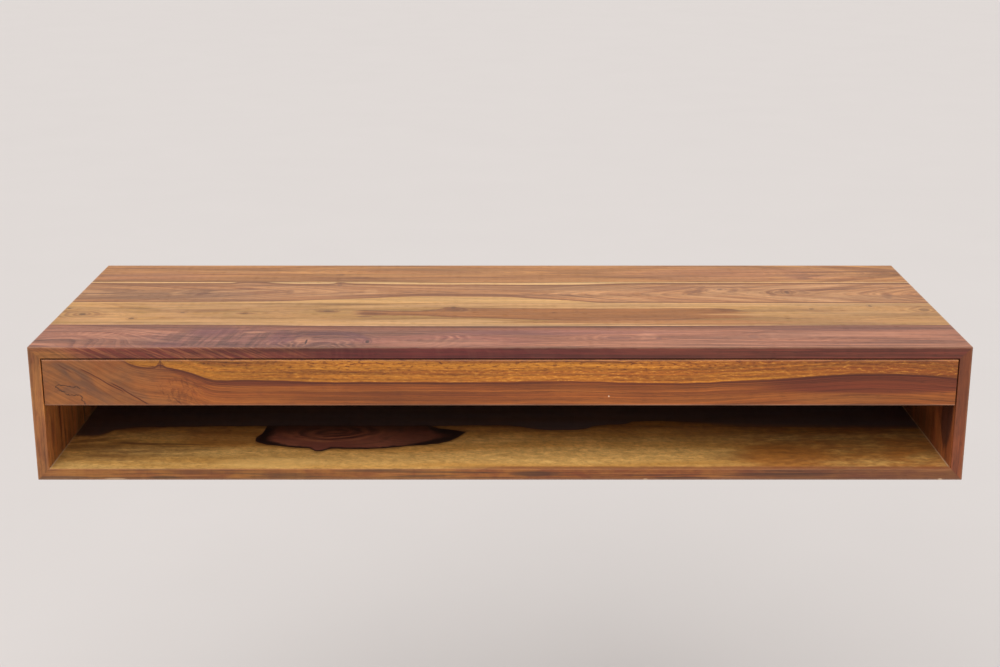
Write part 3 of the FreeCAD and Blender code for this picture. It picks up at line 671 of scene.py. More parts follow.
midRearStave = {
    **rosewood, "seed": 23, "pithDepth": -14, "spacing": 12.5, "wander": 14, "late": 0.62, "line": 0.5,
    "early": 0.5, "ripple": 1.6, "streak": 0.5, "seams": (190, 306), "seamShade": 0.3,
    "centre": [
        (-750, 256), (-300, 258), (-170, 253), (0, 250), (80, 244), (180, 244), (235, 240), (290, 246),
        (380, 244), (440, 243), (560, 240), (750, 240),
    ],
    "flow": [
        (-750, 110), (-560, 74), (-400, 46), (-272, 18), (-170, 2), (-60, -4), (40, -2), (80, 6), (240, 62),
        (330, 84), (430, 112), (560, 160), (750, 220),
    ],
    "dark": (158, 102, 62), "middle": (181, 122, 74), "light": (207, 151, 101), "lineColour": (122, 74, 46),
    "sap": (212, 162, 100), "sapDeep": (200, 148, 84), "sapLine": (226, 178, 116), "brown": (136, 84, 46),
    "grey": (150, 108, 76), "beyond": (172, 113, 62), "knotColour": (84, 46, 34),
    "swell": [
        (-560, 203.5), (-400, 203), (-350, 205), (-300, 206), (-270, 208), (-240, 213), (-200, 218),
        (-160, 223), (-120, 230), (-91, 231.5), (-50, 230.5), (-3, 229), (38, 221), (75, 214), (110, 205),
        (132, 199.5), (260, 199), (560, 198),
    ],
    "joint": [(-560, 307), (-200, 306.5), (-100, 302.5), (0, 301), (100, 303.5), (180, 307), (560, 309)],
    "rim": [
        (-560, 3), (-294, 3), (-168, 5), (-100, 12), (0, 12), (40, 7), (88, 4), (260, 4), (560, 3),
    ],
    "rear": [
        (-560, 300), (-365, 299), (-340, 308), (-318, 305), (-290, 297), (-255, 295), (-222, 297),
        (-215, 302), (-205, 299), (-170, 295), (-100, 291.5), (0, 291), (60, 291), (90, 292), (140, 297),
        (190, 301), (280, 302.5), (360, 303), (560, 303),
    ],
    "knots": [
        (286, 267, 22, 16, -2, 0), (376, 253, 24, 18, -2.2, 0), (291, 267, 7, 6, 0, 0.9),
        (377, 252, 6, 13, 0, 0.9), (-390, 244, 14, 6, 1.2, 0.35), (-214, 300, 4, 7, 0.8, 0.5),
    ],
}


def drawMidRearStave(d, take):
    grain, wood = take["Grain"], midRearStave
    x, y, z = d.split(grain)
    paint = woodBase(d, grain, wood)
    paint.wisps("grey", ((-450, 240, 120, 24, 0, 0.5),), 0.7, 1)
    paint.shade(d.step(x, -0.25, -0.4, 1, 0.93) + d.step(x, 0.1, 0.3) * 0.07)
    paint.wisps("light", (
        (158, 228, 44, 5, -0.42, 0.5), (285, 222, 50, 5, -0.3, 0.7), (395, 220, 44, 6, -0.25, 0.7),
        (480, 226, 50, 3, -0.2, 0.4), (-528, 252, 26, 3, 0, 0.6), (-530, 240, 24, 3, 0, 0.6),
        (-345, 258, 50, 4, 0.12, 0.6), (-215, 240, 50, 5, 0.12, 0.45), (300, 286, 40, 4, 0, 0.6),
        (-425, 247, 10, 9, -0.3, 0.5), (-240, 256, 50, 6, 0, 0.4), (-170, 256, 8, 14, 0, 0.4),
        (450, 248, 26, 3, 0.3, 0.6), (441, 232, 18, 3.5, -0.5, 0.7), (200, 240, 14, 12, 0, 0.35),
        (390, 282, 60, 4, 0, 0.4), (274, 240, 12, 6, 0, 0.5), (374, 244, 3, 4, 0, 0.6),
        (126, 264, 70, 20, 0, 0.4), (455, 228, 60, 16, 0, 0.35),
    ))
    paint.wisps("lineColour", (
        (-336, 270, 15, 3, -0.1, 0.85), (430, 265, 48, 4, 0.17, 0.8), (258, 257, 18, 7, 0.35, 0.6),
        (-390, 245, 8, 9, 0.9, 0.7), (-276, 254, 5, 12, 0, 0.45), (330, 262, 30, 5, 0.1, 0.4),
        (-390, 289, 150, 8, 0, 0.35), (120, 224, 60, 3, -0.35, 0.4), (504, 238, 7, 18, 0, 0.45),
        (266, 276, 8, 3, 0.9, 0.6), (-345, 212, 90, 4, 0, 0.5), (357, 240, 5, 9, 0.5, 0.35),
        (372, 262, 5, 5, 0.9, 0.5), (-150, 236, 60, 4, 0.1, 0.45), (-60, 244, 60, 5, 0, 0.4),
        (-214, 290, 3, 9, 0, 0.5), (306, 258, 7, 10, 0.3, 0.4),
    ))
    paint.eyes((
        (288, 264, 44, 26, 3, 0.35), (376, 252, 44, 26, 3, 0.4), (-390, 246, 50, 26, 3, 0.22),
    ))
    paint.threads(d.step(x, -0.2, -0.1) * d.step(x, 0.2, 0.1))
    # the pale sapwood that swells into the board from the front joint
    place = y + (d.noise((x * 9, y * 30, z * 30), 2) - 0.5) * 0.003
    swell = d.line(x, wood["swell"])
    width = d.line(x, wood["rim"])
    rim = d.smaller(d.step(place - swell, -0.001, 0.0005), d.step(place - swell - width, 0.002, -0.001))
    paint.over(rim * 0.85, "brown")
    sap = d.step(swell - place, 0, 0.0016)
    paint.over(sap * 0.9, d.mix(paint.hair["Cloud"], wood["sapDeep"], wood["sap"]))
    # the pale line along the rear joint, with a brown band before it
    rear = d.line(x, wood["rear"]) + d.step(x, 0.06, -0.02) * 0.0024
    before = d.step(abs(place - rear + 0.004), 0.0065, 0.002)
    paint.over(before * 0.9, "brown")
    paint.over(d.step(place - rear, -0.0012, 0.001) * 0.92, "sapLine")
    paint.over(d.step(place - d.line(x, wood["joint"]), -0.0004, 0.001), "beyond")
    paint.over(paint.core * 0.75, "knotColour")
    paint.over(paint.halo * 0.4, "lineColour")
    paint.sides()
    paint.seam(y)
    return paint.finished()


rearStave = {
    **rosewood, "seed": 37, "pithDepth": -16, "spacing": 10, "wander": 34, "seams": (306, 409),
    "centre": [(-750, 362), (-200, 366), (0, 356), (306, 352), (750, 360)],
    "flow": [
        (-750, 0), (-300, 0), (-180, 12), (-60, 0), (160, -6), (306, 18), (400, -8), (560, -60), (750, -90),
    ],
    "late": 0.5, "dark": (157, 100, 50), "middle": (177, 116, 61), "light": (194, 134, 74),
    "lineColour": (120, 68, 38), "pink": (182, 117, 80), "knotColour": (84, 46, 34),
    "knots": [(-218, 348, 10, 6, 1.2, 0.5), (415, 326, 18, 8, -1.8, 0.6), (-60, 360, 90, 16, -1.6, 0)],
}


def drawRearStave(d, take):
    grain, wood = take["Grain"], rearStave
    y = d.split(grain)[1]
    paint = woodBase(d, grain, wood)
    paint.wisps("pink", ((330, 350, 170, 34, 0, 0.5),), 0.6, 1)
    paint.wisps("pink", ((-480, 335, 90, 20, 0, 0.4),), 0.7, 1)
    paint.wisps("lineColour", (
        (455, 362, 60, 3, 0.08, 0.5), (-360, 350, 110, 3, 0, 0.3), (120, 330, 150, 3, 0, 0.3),
        (-190, 330, 16, 5, 0, 0.4), (425, 338, 20, 4, 0.3, 0.5), (200, 352, 120, 3, 0, 0.3),
        (-380, 320, 230, 13, 0, 0.42), (455, 318, 60, 8, 0, 0.25),
    ))
    paint.wisps("light", (
        (-330, 362, 90, 3, -0.04, 0.6), (-170, 345, 50, 4, 0, 0.4), (380, 330, 14, 8, 0, 0.4),
        (480, 345, 60, 6, -0.1, 0.35),
    ))
    paint.over(paint.core * 0.7, "knotColour")
    paint.sides()
    paint.seam(y)
    return paint.finished()


drawerBoard = {
    **rosewood, "seed": 51, "pore": 0.3, "streaks": 260,
    "dark": (122, 59, 24), "middle": (147, 78, 28), "light": (166, 94, 36), "gold": (188, 119, 32),
    "goldDeep": (146, 78, 22), "fleck": (204, 136, 52), "speck": (98, 44, 12), "goldRed": (122, 59, 19),
    "leftGold": (152, 92, 44), "leftGrey": (106, 70, 48), "lowerArrisReflection": (136, 110, 94),
    "lineColour": (74, 26, 8), "purple": (104, 42, 22), "orange": (148, 86, 36), "leftTone": (120, 76, 44),
    "upperArrisHighlight": (172, 116, 84), "crackColour": (44, 22, 16), "chipColour": (222, 190, 160),
    "swirl": (-371, -56, 16, 13),
    "boundary": [
        (-560, 10), (-470, -8), (-438.5, -16.2), (-431, -20.7), (-422, -23.4), (-410.6, -24.8), (-402, -23.8),
        (-398, -20.7), (-396, -15.5), (-394, -21.2), (-390, -24.6), (-380, -26.4), (-363.5, -30.7),
        (-352, -35.1), (-340, -39), (-328, -40.7), (-290, -40.4), (-257.6, -41.2), (-216, -42.7),
        (-130, -42.9), (0, -43.1), (38, -42.3), (73.5, -41.6), (112, -42.3), (162, -43.8), (206, -44),
        (244, -43.1), (279, -41.2), (323.5, -39.3), (362, -36.2), (412, -33.4), (441, -32.9), (485, -34),
        (529, -37.6), (560, -40),
    ],
    "flow": [
        (-560, 52), (-520, 30), (-480, 7), (-443, -14), (-410, -24), (-380, -27), (-352, -35.1),
        (-328, -40.7), (-257.6, -41.2), (-130, -42.9), (0, -43.1), (73.5, -41.6), (206, -44), (279, -41.2),
        (362, -36.2), (441, -32.9), (529, -37.6), (560, -40),
    ],
    "crack": [
        (-492, -50.7), (-496, -47.9), (-502, -48.4), (-508, -47.3), (-518, -46.2), (-520, -48.4),
        (-516.5, -51.8), (-509, -56.8), (-503, -58.7), (-493, -59), (-489.4, -61.8), (-491.5, -64.6),
        (-487, -67.3), (-488, -72.5),
    ],
    "slants": [
        (-490, -25.7, -441, -55, 0.9), (-454, -44, -413, -70, 0.95), (-516, -20.7, -500, -31, 0.6),
        (-382.6, -62, -373, -70.5, 0.6), (-396, -25, -396.2, -14.5, 0.8), (-399, -21, -396, -17, 0.7),
        (-393, -21, -396, -17, 0.7), (-505, -18, -470, -40, 0.3), (-498, -30, -440, -71, 0.3),
    ],
}


def stroke(d, x, y, ends, width, fade=0.004):  # a straight stroke between two points, thinning at its ends
    x0, y0, x1, y1 = (value / 1000 for value in ends)
    length = math.hypot(x1 - x0, y1 - y0)
    ux, uy = (x1 - x0) / length, (y1 - y0) / length
    along = (x - x0) * ux + (y - y0) * uy
    across = abs((y - y0) * ux - (x - x0) * uy)
    within = d.smaller(d.step(along, -fade, fade), d.step(along, length + fade, length - fade))
    return d.step(across, width, width * 0.25) * within


def drawDrawerFront(d, take):
    # along = x, across = height below the desk's top, and every line bends with the edge of the golden wood
    wood = drawerBoard
    x, y, z = d.split(take["Place"])
    drop = z - topLevel
    grain = d.join(x, drop, y)
    flow = d.line(x, wood["flow"])
    edge = d.line(x, wood["boundary"])
    place = drop + (d.noise((x * 40, drop * 90, 0), 3) - 0.5) * 0.0018
    seed = wood["seed"]
    rise = d.noise((x * 3, drop * 14, y * 14), 2)
    swirl = d.use(knot, spot(grain, *wood["swirl"]))["Swell"]
    rings = (place - flow) / 0.0036 + rise * 5 - swirl * 4.5 + y * 90
    ring = d.use(ringTone, {"Rings": rings, "Seed": seed})
    hair = d.use(fibre, {"Grain": d.join(x, place - flow, y), "Seed": seed, "Streaks": wood["streaks"]})
    band = ring["Band"] * 0.35 + hair["Cloud"] * 0.4 + blotches(d, grain, 59, 26) * 0.25
    paint = Paint(d, grain, wood, d.ramp(band, wood), hair)
    leftSide = d.step(x, -0.34, -0.46)
    paint.over(leftSide * (0.35 + blotches(d, grain, 53, 44) * 0.6), "leftTone")
    paint.over(leftSide * blotches(d, grain, 57, 70) * 0.6, "leftGold")
    paint.wisps("leftGrey", (
        (-492, -38, 18, 9, -0.5, 0.75), (-508, -26, 14, 6, -0.4, 0.65), (-470, -58, 16, 7, -0.5, 0.55),
        (-500, -52, 12, 5, 0, 0.6), (-425, -58, 18, 4, -0.5, 0.4),
    ))
    paint.wisps("leftGold", (
        (-520, -64, 14, 8, 0, 0.8), (-466, -47, 9, 7, -0.5, 0.6), (-498, -34, 8, 5, -0.6, 0.5),
        (-400, -66, 30, 4, 0, 0.5), (-415, -43, 18, 5, -0.5, 0.4), (-448, -66, 20, 4, -0.3, 0.4),
    ))
    paint.wisps("purple", ((440, -45, 130, 13, 0, 0.85),), 0.5, 0.6)
    paint.wisps("purple", ((-364, -34, 26, 6, -0.4, 0.45), (-272, -44.5, 80, 3, 0, 0.7)), 0.6, 0.8)
    paint.wisps("orange", ((400, -63, 60, 7, 0, 0.7),), 0.6, 0.8)
    fine = d.noise((x * 8, (place - flow) * 430, 5), 4, 0.65)
    under = d.step(edge - place, 0.02, 0.004) * 0.5
    lines = d.larger(
        ring["Late"] * (under + 0.26), ring["Line"] * (under + 0.24),
        d.step(fine, 0.53, 0.66) * d.step(x, 0.25, 0.4, 0.42, 0.62),
    )
    paint.over(lines * (1 - leftSide * 0.6), "lineColour")
    # short curly strokes round a small burl
    curl = d.noise((x * 240 + drop * 90, drop * 120 + rise * 9, 8), 3, 0.6)
    burl = lens(d, grain, -376, -52, 26, 17, 0, 0.7, 0.8)
    paint.over(d.step(curl, 0.5, 0.64) * burl * 0.4, "lineColour")
    paint.over(d.step(curl, 0.44, 0.32) * burl * 0.25, "leftGold")
    # the golden band above, with its speckled dashes
    gold = Paint(d, grain, wood, d.mix(hair["Cloud"], wood["goldDeep"], wood["gold"]))
    gold.over(d.step(x, 0.28, 0.46) * 0.7, "goldRed")
    dash = d.noise((x * 120, place * 480, y * 200), 3, 0.66)
    crowd = d.step(drop - edge, 0.002, 0.03) * d.step(x, 0.5, 0.2, 0.75, 1)
    gold.over(d.step(dash, 0.53, 0.63) * (0.45 + crowd * 0.55) * 0.95, "speck")
    calm = d.step(x, 0.46, 0.26, 0.8, 1)
    gold.over(d.step(dash, 0.46, 0.34) * calm * 0.68, "fleck")
    longer = d.noise((x * 12, (place - flow * 0.5) * 400, 7), 4, 0.65)
    gold.over(d.step(longer, 0.54, 0.66) * 0.65, "speck")
    gold.over(d.step(longer, 0.44, 0.34) * calm * 0.35, "fleck")
    # painted shade: the top of the golden band is darkened under the top board, most on the left
    upper = d.step(drop, -0.0225, -0.0185) * (0.2 + d.step(x, 0.05, -0.1) * 0.8)
    lower = d.step(drop, -0.025, -0.03) * d.step(x, -0.16, -0.06) * d.step(x, 0.3, 0.2)
    gold.shade((d.step(x, -0.28, -0.16, 0.89, 1) - upper * 0.17) + lower * 0.09)
    isGold = d.step(place - edge, 0, 0.001) * d.step(x, -0.452, -0.44)
    paint.over(isGold, gold.colour)
    below = edge - place
    rim = d.smaller(d.step(below, -0.0006, 0.0004), d.step(below, 0.0032, 0.001)) * d.step(x, -0.452, -0.43)
    paint.over(rim * 0.7, "lineColour")
    paint.hoops("lineColour", (
        (-377, -47, 12, 7, 1, 0.4, 0.9, 0.45), (-370, -58, 9, 11, 1, 1, 0.2, 0.4),
        (-388, -52, 10, 12, 1, -0.9, -0.4, 0.35), (-352, -56, 16, 8, 0.9, -0.8, 0.5, 0.3),
    ))
    # slanting dark lines and a wandering crack at the left end
    bent = drop + (d.noise((x * 60, drop * 60, 3), 2) - 0.5) * 0.0026
    for x0, z0, x1, z1, share in wood["slants"]:
        paint.over(stroke(d, x, bent, (x0, z0, x1, z1), 0.0011) * share, "lineColour")
    shaky = d.noiseTriple((x * 300, drop * 300, 1), 1)
    shakyX = x + (shaky[0] - 0.5) * 0.004
    shakyZ = drop + (shaky[1] - 0.5) * 0.004
    mark = 0
    for start, stop in zip(wood["crack"], wood["crack"][1:]):
        mark = d.larger(stroke(d, shakyX, shakyZ, (*start, *stop), 0.0009, 0.0008), mark)
    paint.over(mark * 0.85, "crackColour")
    paint.wisps("chipColour", ((127.6, -60, 0.8, 0.8, 0, 0.8),), 0.4, 0.8)
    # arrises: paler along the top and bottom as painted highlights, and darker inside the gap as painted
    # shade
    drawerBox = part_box("drawer_front")
    low, high = drawerBox[0].z - topLevel, drawerBox[1].z - topLevel
    toRim = d.smaller(high - drop, drop - low)
    arrisHighlightTone = d.mix(d.step(drop - low, 0.01, 0.005), wood["upperArrisHighlight"], wood["lowerArrisReflection"])
    paint.over(d.step(toRim, 0.0022, 0.0008) * d.step(x, -0.13, -0.03, 0.35, 0.5), arrisHighlightTone)
    # painted shade: every face behind the front face is darkened to 0.3 inside the gap
    paint.shade(d.step(y, -depth + 0.0006, -depth + 0.0016, 1, 0.3))
    hair["Streak"] = (hair["Streak"] - 0.5) * (1 - leftSide * 0.45) + 0.5
    return paint.finished()


bottomBoard = {
    **rosewood, "seed": 67, "pithDepth": -60, "spacing": 9, "wander": 60, "seams": (152, 280),
    "centre": [(-560, 60), (0, 40), (560, 60)], "flow": [(-560, 0), (0, 10), (560, 0)],
    "late": 0.12, "line": 0.1, "early": 0.1, "streak": 0.16, "pore": 0.3, "roughness": 0.42,
    "dark": (194, 139, 68), "middle": (217, 165, 92), "light": (232, 186, 112), "lineColour": (120, 74, 34),
    "olive": (164, 118, 56), "stain": (106, 66, 38), "heart": (140, 80, 66), "heartLight": (200, 126, 92),
    "heartDark": (50, 30, 30), "rimBlack": (30, 20, 22), "glueLine": (206, 176, 140), "amber": (170, 100, 38),
    "rear": (100, 90, 96), "reddish": (140, 82, 56), "edge": (116, 56, 22), "edgeGold": (146, 88, 32),
    "edgePurple": (86, 52, 38), "edgeLight": (170, 110, 60), "edgeDark": (60, 34, 24), "under": (150, 94, 52),
    "underDark": (120, 70, 40),
    "low": [
        (-306, 107.5), (-294, 86), (-266, 76), (-237, 71), (-230, 64), (-222, 58), (-214, 63), (-207, 68),
        (-158, 67.5), (-116, 77.5), (-75, 88), (-55, 107.5), (-43, 132),
    ],
    "high": [(-306, 107.5), (-299, 130), (-296, 165), (-95, 165), (-88, 153), (-69, 141), (-43, 132)],
    "back": [
        (-560, 120), (-520, 118), (-490, 138), (-440, 150), (-300, 153), (-80, 153), (0, 156), (20, 152),
        (50, 141), (75, 137), (105, 141), (125, 155), (160, 161), (175, 170), (200, 172), (255, 166),
        (310, 156), (400, 152), (560, 148),
    ],
}


def drawBottomEdge(d, grain):
    # golden and red-brown with lengthwise marks, more purple to the right and along the lower arris
    wood = bottomBoard
    x, _, z = d.split(grain)
    flowing = d.noise((x * 5, z * 300, 2), 5, 0.68)
    paint = Paint(d, grain, wood, d.mix(blotches(d, grain, 71, 46), wood["edge"], wood["edgeGold"]))
    paint.shade(d.step(x, -0.3, 0, 0.93, 1.1))
    paint.over(d.step(x, 0.2, 0.36) * 0.6, "edgePurple")
    paint.over(d.step(flowing, 0.5, 0.61) * 0.75, "edgeDark")
    paint.over(d.step(flowing, 0.45, 0.35) * 0.5, "edgeLight")
    paint.grain = d.join(x, z, 0)
    paint.wisps("edgeDark", (
        (42, -6, 30, 3.5, 0, 0.8), (215, -11.5, 34, 1.6, 0, 0.9), (-400, -11, 18, 2, 0, 0.8),
        (-90, -9, 40, 1.4, 0.02, 0.7), (340, -8, 60, 2, 0, 0.6), (-250, -10, 50, 1.6, 0, 0.5),
    ))
    paint.wisps("edgePurple", ((-520, -11.5, 34, 2.5, 0, 0.8),))
    # painted highlight: a paler strip along the upper arris
    paint.over(d.step(z, -0.0016, -0.0004) * 0.35, "edgeLight")
    lowMark = d.step(z + (flowing - 0.5) * 0.006, -0.0098, -0.0125)
    paint.over(lowMark * 0.6, "edgePurple")
    paint.wisps("glueLine", (
        (-458, -12.4, 12, 1, 0, 0.4), (173, -13, 2.5, 1, 0, 0.6), (524, -13, 2.5, 1, 0, 0.8),
    ))
    return paint.colour


def drawBottomBoard(d, take):
    grain, wood = take["Grain"], bottomBoard
    x, y, z = d.split(grain)
    paint = woodBase(d, grain, wood)
    place = y + (d.noise((x * 34, y * 60, z * 60), 4, 0.6) - 0.5) * 0.009
    clouds = blotches(d, grain, 73, 24)
    fine = blotches(d, grain, 79, 120)
    paint.over(clouds * d.step(place, 0.03, 0.09) * 0.45, "olive")
    paint.over(fine * 0.4, "olive")
    grains = d.noise((x * 170, y * 330, 9), 3, 0.62)
    paint.over(d.step(grains, 0.52, 0.64) * 0.36, "lineColour")
    flecks = d.noise((x * 84 + y * 30, y * 96, 4), 5, 0.76)
    paint.shade(1.04 + (d.step(flecks, 0.36, 0.64) - 0.45) * d.step(place, 0, 0.06, 0.2, 0.36))
    paint.shade(d.step(x, 0.25, 0.45, 1, 0.87))
    # painted light: deeper in the shelf, where shade falls, the floor is lightened except on the right; the
    # front left is darker
    frontLeft = d.step(x, -0.1, -0.35) * d.step(place, 0.08, 0.03)
    middleLeft = d.step(x, 0.3, 0) * d.step(place, 0.03, 0.09)
    paint.shade(1.05 - frontLeft * 0.2 + middleLeft * 0.28)
    amber = d.step(x, 0.2, 0.4) * blotches(d, grain, 83, 30)
    paint.over(d.larger(amber, lens(d, grain, 350, 45, 60, 50, 0, 0.7, 1)) * 0.75, "amber")
    paint.over(fine * d.step(x, 0.26, 0.36) * 0.45, "stain")
    dusk = d.step(place, 0.085, 0.15) * blotches(d, grain, 89, 28)
    paint.over(dusk * 0.55, "reddish")
    paint.wisps("amber", ((-340, 105, 60, 30, 0, 0.5),), 0.7, 1)
    paint.wisps("stain", (
        (-424, 86, 56, 4, -0.06, 0.6), (-470, 92, 20, 9, 0, 0.35), (-400, 62, 60, 7, 0.1, 0.4),
        (-480, 50, 30, 14, 0, 0.35), (-390, 76, 50, 2, -0.06, 0.5), (-440, 45, 80, 5, 0, 0.3),
        (-505, 100, 30, 6, 0.3, 0.5), (-450, 88, 26, 3, -0.2, 0.5), (-455, 60, 40, 5, 0, 0.4),
        (-470, 34, 50, 8, 0, 0.25), (280, 40, 30, 12, 0, 0.35), (-440, 75, 46, 9, 0, 0.45),
        (-505, 74, 34, 14, 0, 0.55),
    ))
    paint.wisps("light", ((-275, 20, 62, 18, 0, 0.45),), 0.7, 1)
    # the dark heartwood island, whose rear is cut off by the glue line, with arcs round its heart
    low = d.line(x, wood["low"])
    high = d.line(x, wood["high"])
    within = d.smaller(place - low, high - place, (x + 0.3065) * 0.8, (-0.043 - x) * 0.8)
    heart = d.step(within, -0.0004, 0.0012)
    heartwood = Paint(d, grain, wood, d.mix(clouds * 0.45, wood["heart"], wood["heartLight"]))
    arcs = ((-214, 132, 60, 34, 3, 0.6), (-120, 112, 50, 26, 3, 0.25))
    heartwood.eyes(arcs, dark="heartDark", pale="heartLight")
    heartwood.hoops("heartLight", (
        (-214, 138, 62, 42, 5, 0.3, -1, 0.9), (-212, 134, 40, 26, 4, 0.5, -0.9, 0.7),
    ))
    heartwood.hoops("heartDark", (
        (-214, 136, 50, 33, 4, 0.8, -0.6, 0.7), (-216, 136, 34, 20, 4, 0.8, -0.5, 0.6),
        (-205, 138, 78, 55, 4, 1, 0, 0.4),
    ))
    dim = d.larger(d.step(y, 0.112, 0.145) * 0.7, d.step(x, -0.16, -0.1) * 0.45)
    heartwood.over(dim, "heartDark")
    thick = 0.006 + d.step(x, -0.115, -0.065) * 0.017 + d.step(x, -0.262, -0.292) * 0.01
    ragged = within + (d.noise((x * 70, y * 70, 0), 4) - 0.5) * 0.012
    heartwood.over(d.step(ragged / thick, 1.5, 0.6) * 0.95, "rimBlack")
    paint.over(heart, heartwood.colour)
    halo = d.step(within, -0.009, -0.0005) * (1 - heart)
    paint.over(halo * 0.5, "stain")
    # the rear is dark wood with a wavy edge and a black line along it; its dark, cool tone is also painted
    # shade for the back of the shelf
    rear = place - d.line(x, wood["back"])
    paint.over(d.step(rear, -0.014, 0) * 0.4, "stain")
    rearColour = d.mix(paint.hair["Cloud"] * 0.4, wood["rear"], wood["stain"])
    soft = 0.0015 + d.step(x, 0.2, 0.32) * 0.009 + d.step(x, -0.32, -0.42) * 0.005
    paint.over(d.step(rear, soft * -1, soft) * 0.95, rearColour)
    rearLine = d.step(abs(rear - 0.001), 0.0025, 0) * d.step(x, 0.3, 0.2)
    paint.over(rearLine * 0.6, "heartDark")
    glue = d.step(abs(x), 0.534, 0.535) * d.step(z, -0.0015, -0.0003)
    paint.over(glue * 0.7, "glueLine")
    # the front edge, the worn arris above it and the plainer underside
    paint.over(d.step(place, 0.012, 0.004) * d.step(x, -0.1, 0.02) * 0.8, "reddish")
    paint.over(onFront(d, y), drawBottomEdge(d, grain))
    under = d.step(z, -0.0134, -0.0137)
    paint.over(under * 0.85, d.mix(paint.ring["Band"], wood["under"], wood["underDark"]))
    paint.seam(y)
    return paint.finished()


def plainWood(wood):  # a quieter board, drawn along its own grain direction
    return lambda d, take: woodBase(d, take["Grain"], wood).finished()


def plywood(wood):
    def build(d, take):
        # layers through the thickness, their grain turning a quarter from one to the next
        x, y, z = d.split(take["Grain"])
        deep = z / (wood["ply"] / 1000)
        layer = d.calc("FLOOR", deep)
        odd = d.calc("MODULO", abs(layer), 2)
        u = x + odd * (y - x)
        v = y + odd * (x - y)
        hair = d.use(fibre, {"Grain": d.join(u, v, z), "Seed": wood["seed"], "Streaks": wood["streaks"]})
        wave = d.noise((u * 1.6, v * 9, layer * 3.3), 1)
        ring = d.use(ringTone, {"Rings": v / 0.0046 + wave * 7, "Seed": wood["seed"]})
        band = ring["Band"] * 0.45 + hair["Cloud"] * 0.3 + hair["Streak"] * 0.25
        paint = Paint(d, take["Grain"], wood, d.ramp(band, wood), hair)
        paint.over(ring["Late"] * wood["late"], "lineColour")
        paint.shade(1 - odd * 0.18)
        glue = d.step(abs(d.calc("FRACT", deep) - 0.5), 0.44, 0.49)
        paint.shade(1 - glue * 0.45 * wood["glue"])
        return paint.finished()

    return build


boxWood = {
    **rosewood, "seed": 81, "pithDepth": -60, "spacing": 4, "streaks": 140,
    "centre": [(-900, -40), (900, -20)], "flow": [(-900, 0), (900, 60)],
    "late": 0.25, "line": 0.12, "streak": 0.16, "pore": 0.35, "roughness": 0.48,
    "dark": (184, 144, 100), "middle": (200, 160, 114), "light": (212, 176, 130),
    "lineColour": (152, 110, 70), "poreColour": (120, 84, 54),
}
cleatWood = {
    **rosewood, "seed": 93, "pithDepth": -30, "spacing": 3.4, "wander": 24, "streaks": 140,
    "centre": [(-900, 20), (900, 30)], "flow": [(-900, 0), (900, 60)],
    "late": 0.4, "line": 0.1, "streak": 0.14, "pore": 0.12, "roughness": 0.58,
    "dark": (196, 160, 112), "middle": (212, 178, 130), "light": (222, 192, 146),
    "lineColour": (168, 120, 72), "poreColour": (150, 110, 70),
}
splineWood = {
    **rosewood, "seed": 97, "pithDepth": -30, "spacing": 3.4, "wander": 24, "streaks": 140,
    "centre": [(-900, 20), (900, 30)], "flow": [(-900, 0), (900, 60)],
    "dark": (86, 46, 32), "middle": (98, 54, 36), "light": (112, 64, 42), "lineColour": (60, 32, 24),
}
palePly = {
    **rosewood, "seed": 101, "late": 0.2, "streak": 0.12, "pore": 0.2, "roughness": 0.5,
    "dark": (200, 162, 120), "middle": (214, 178, 136), "light": (226, 194, 152),
    "lineColour": (176, 132, 90), "poreColour": (146, 104, 68), "streaks": 140, "ply": 1.68, "glue": 1,
}
darkPly = {
    **rosewood, "seed": 107, "late": 0.3, "streak": 0.16, "pore": 0.3, "roughness": 0.5,
    "dark": (84, 72, 70), "middle": (98, 84, 80), "light": (112, 96, 92),
    "lineColour": (56, 38, 30), "poreColour": (40, 26, 20), "streaks": 140, "ply": 1.21, "glue": 0.6,
}

figures = {}
for name, build, label in (
    ("frontStave", drawFrontStave, "Grain"), ("midFrontStave", drawMidFrontStave, "Grain"),
    ("midRearStave", drawMidRearStave, "Grain"), ("rearStave", drawRearStave, "Grain"),
    ("bottomBoard", drawBottomBoard, "Grain"), ("drawerFront", drawDrawerFront, "Place"),
    ("boxWood", plainWood(boxWood), "Grain"), ("cleatWood", plainWood(cleatWood), "Grain"),
    ("splineWood", plainWood(splineWood), "Grain"),
    ("palePly", plywood(palePly), "Grain"), ("darkPly", plywood(darkPly), "Grain"),
):
    figures[name] = toolGroup(name, {label: None}, ["Colour", "Roughness", "Height"], build)

print("desk: wood materials")


def material(name, build):  # build gives the inputs of the one Principled shader
    made = bpy.data.materials.new(name)
    made.use_nodes = True
    made.node_tree.nodes.clear()
    d = Draft(made.node_tree)
    shader = d.put("BsdfPrincipled", build(d, d.wire(d.put("TexCoord"), 3)))
    made.node_tree.links.new(shader.outputs[0], d.put("OutputMaterial").inputs[0])
    return made


def bumped(d, height, strength, distance):
    return d.wire(d.put("Bump", {"Strength": strength, "Distance": distance, "Height": height}))


lacquer = {
    "wearAndHighlight": 0.16, "wearAndHighlightTone": (214, 168, 128), "dust": 0.12, "dustSize": 9, "reliefHeight": 0.00025,
    "ior": 1.43, "coatRoughness": 0.3,
}


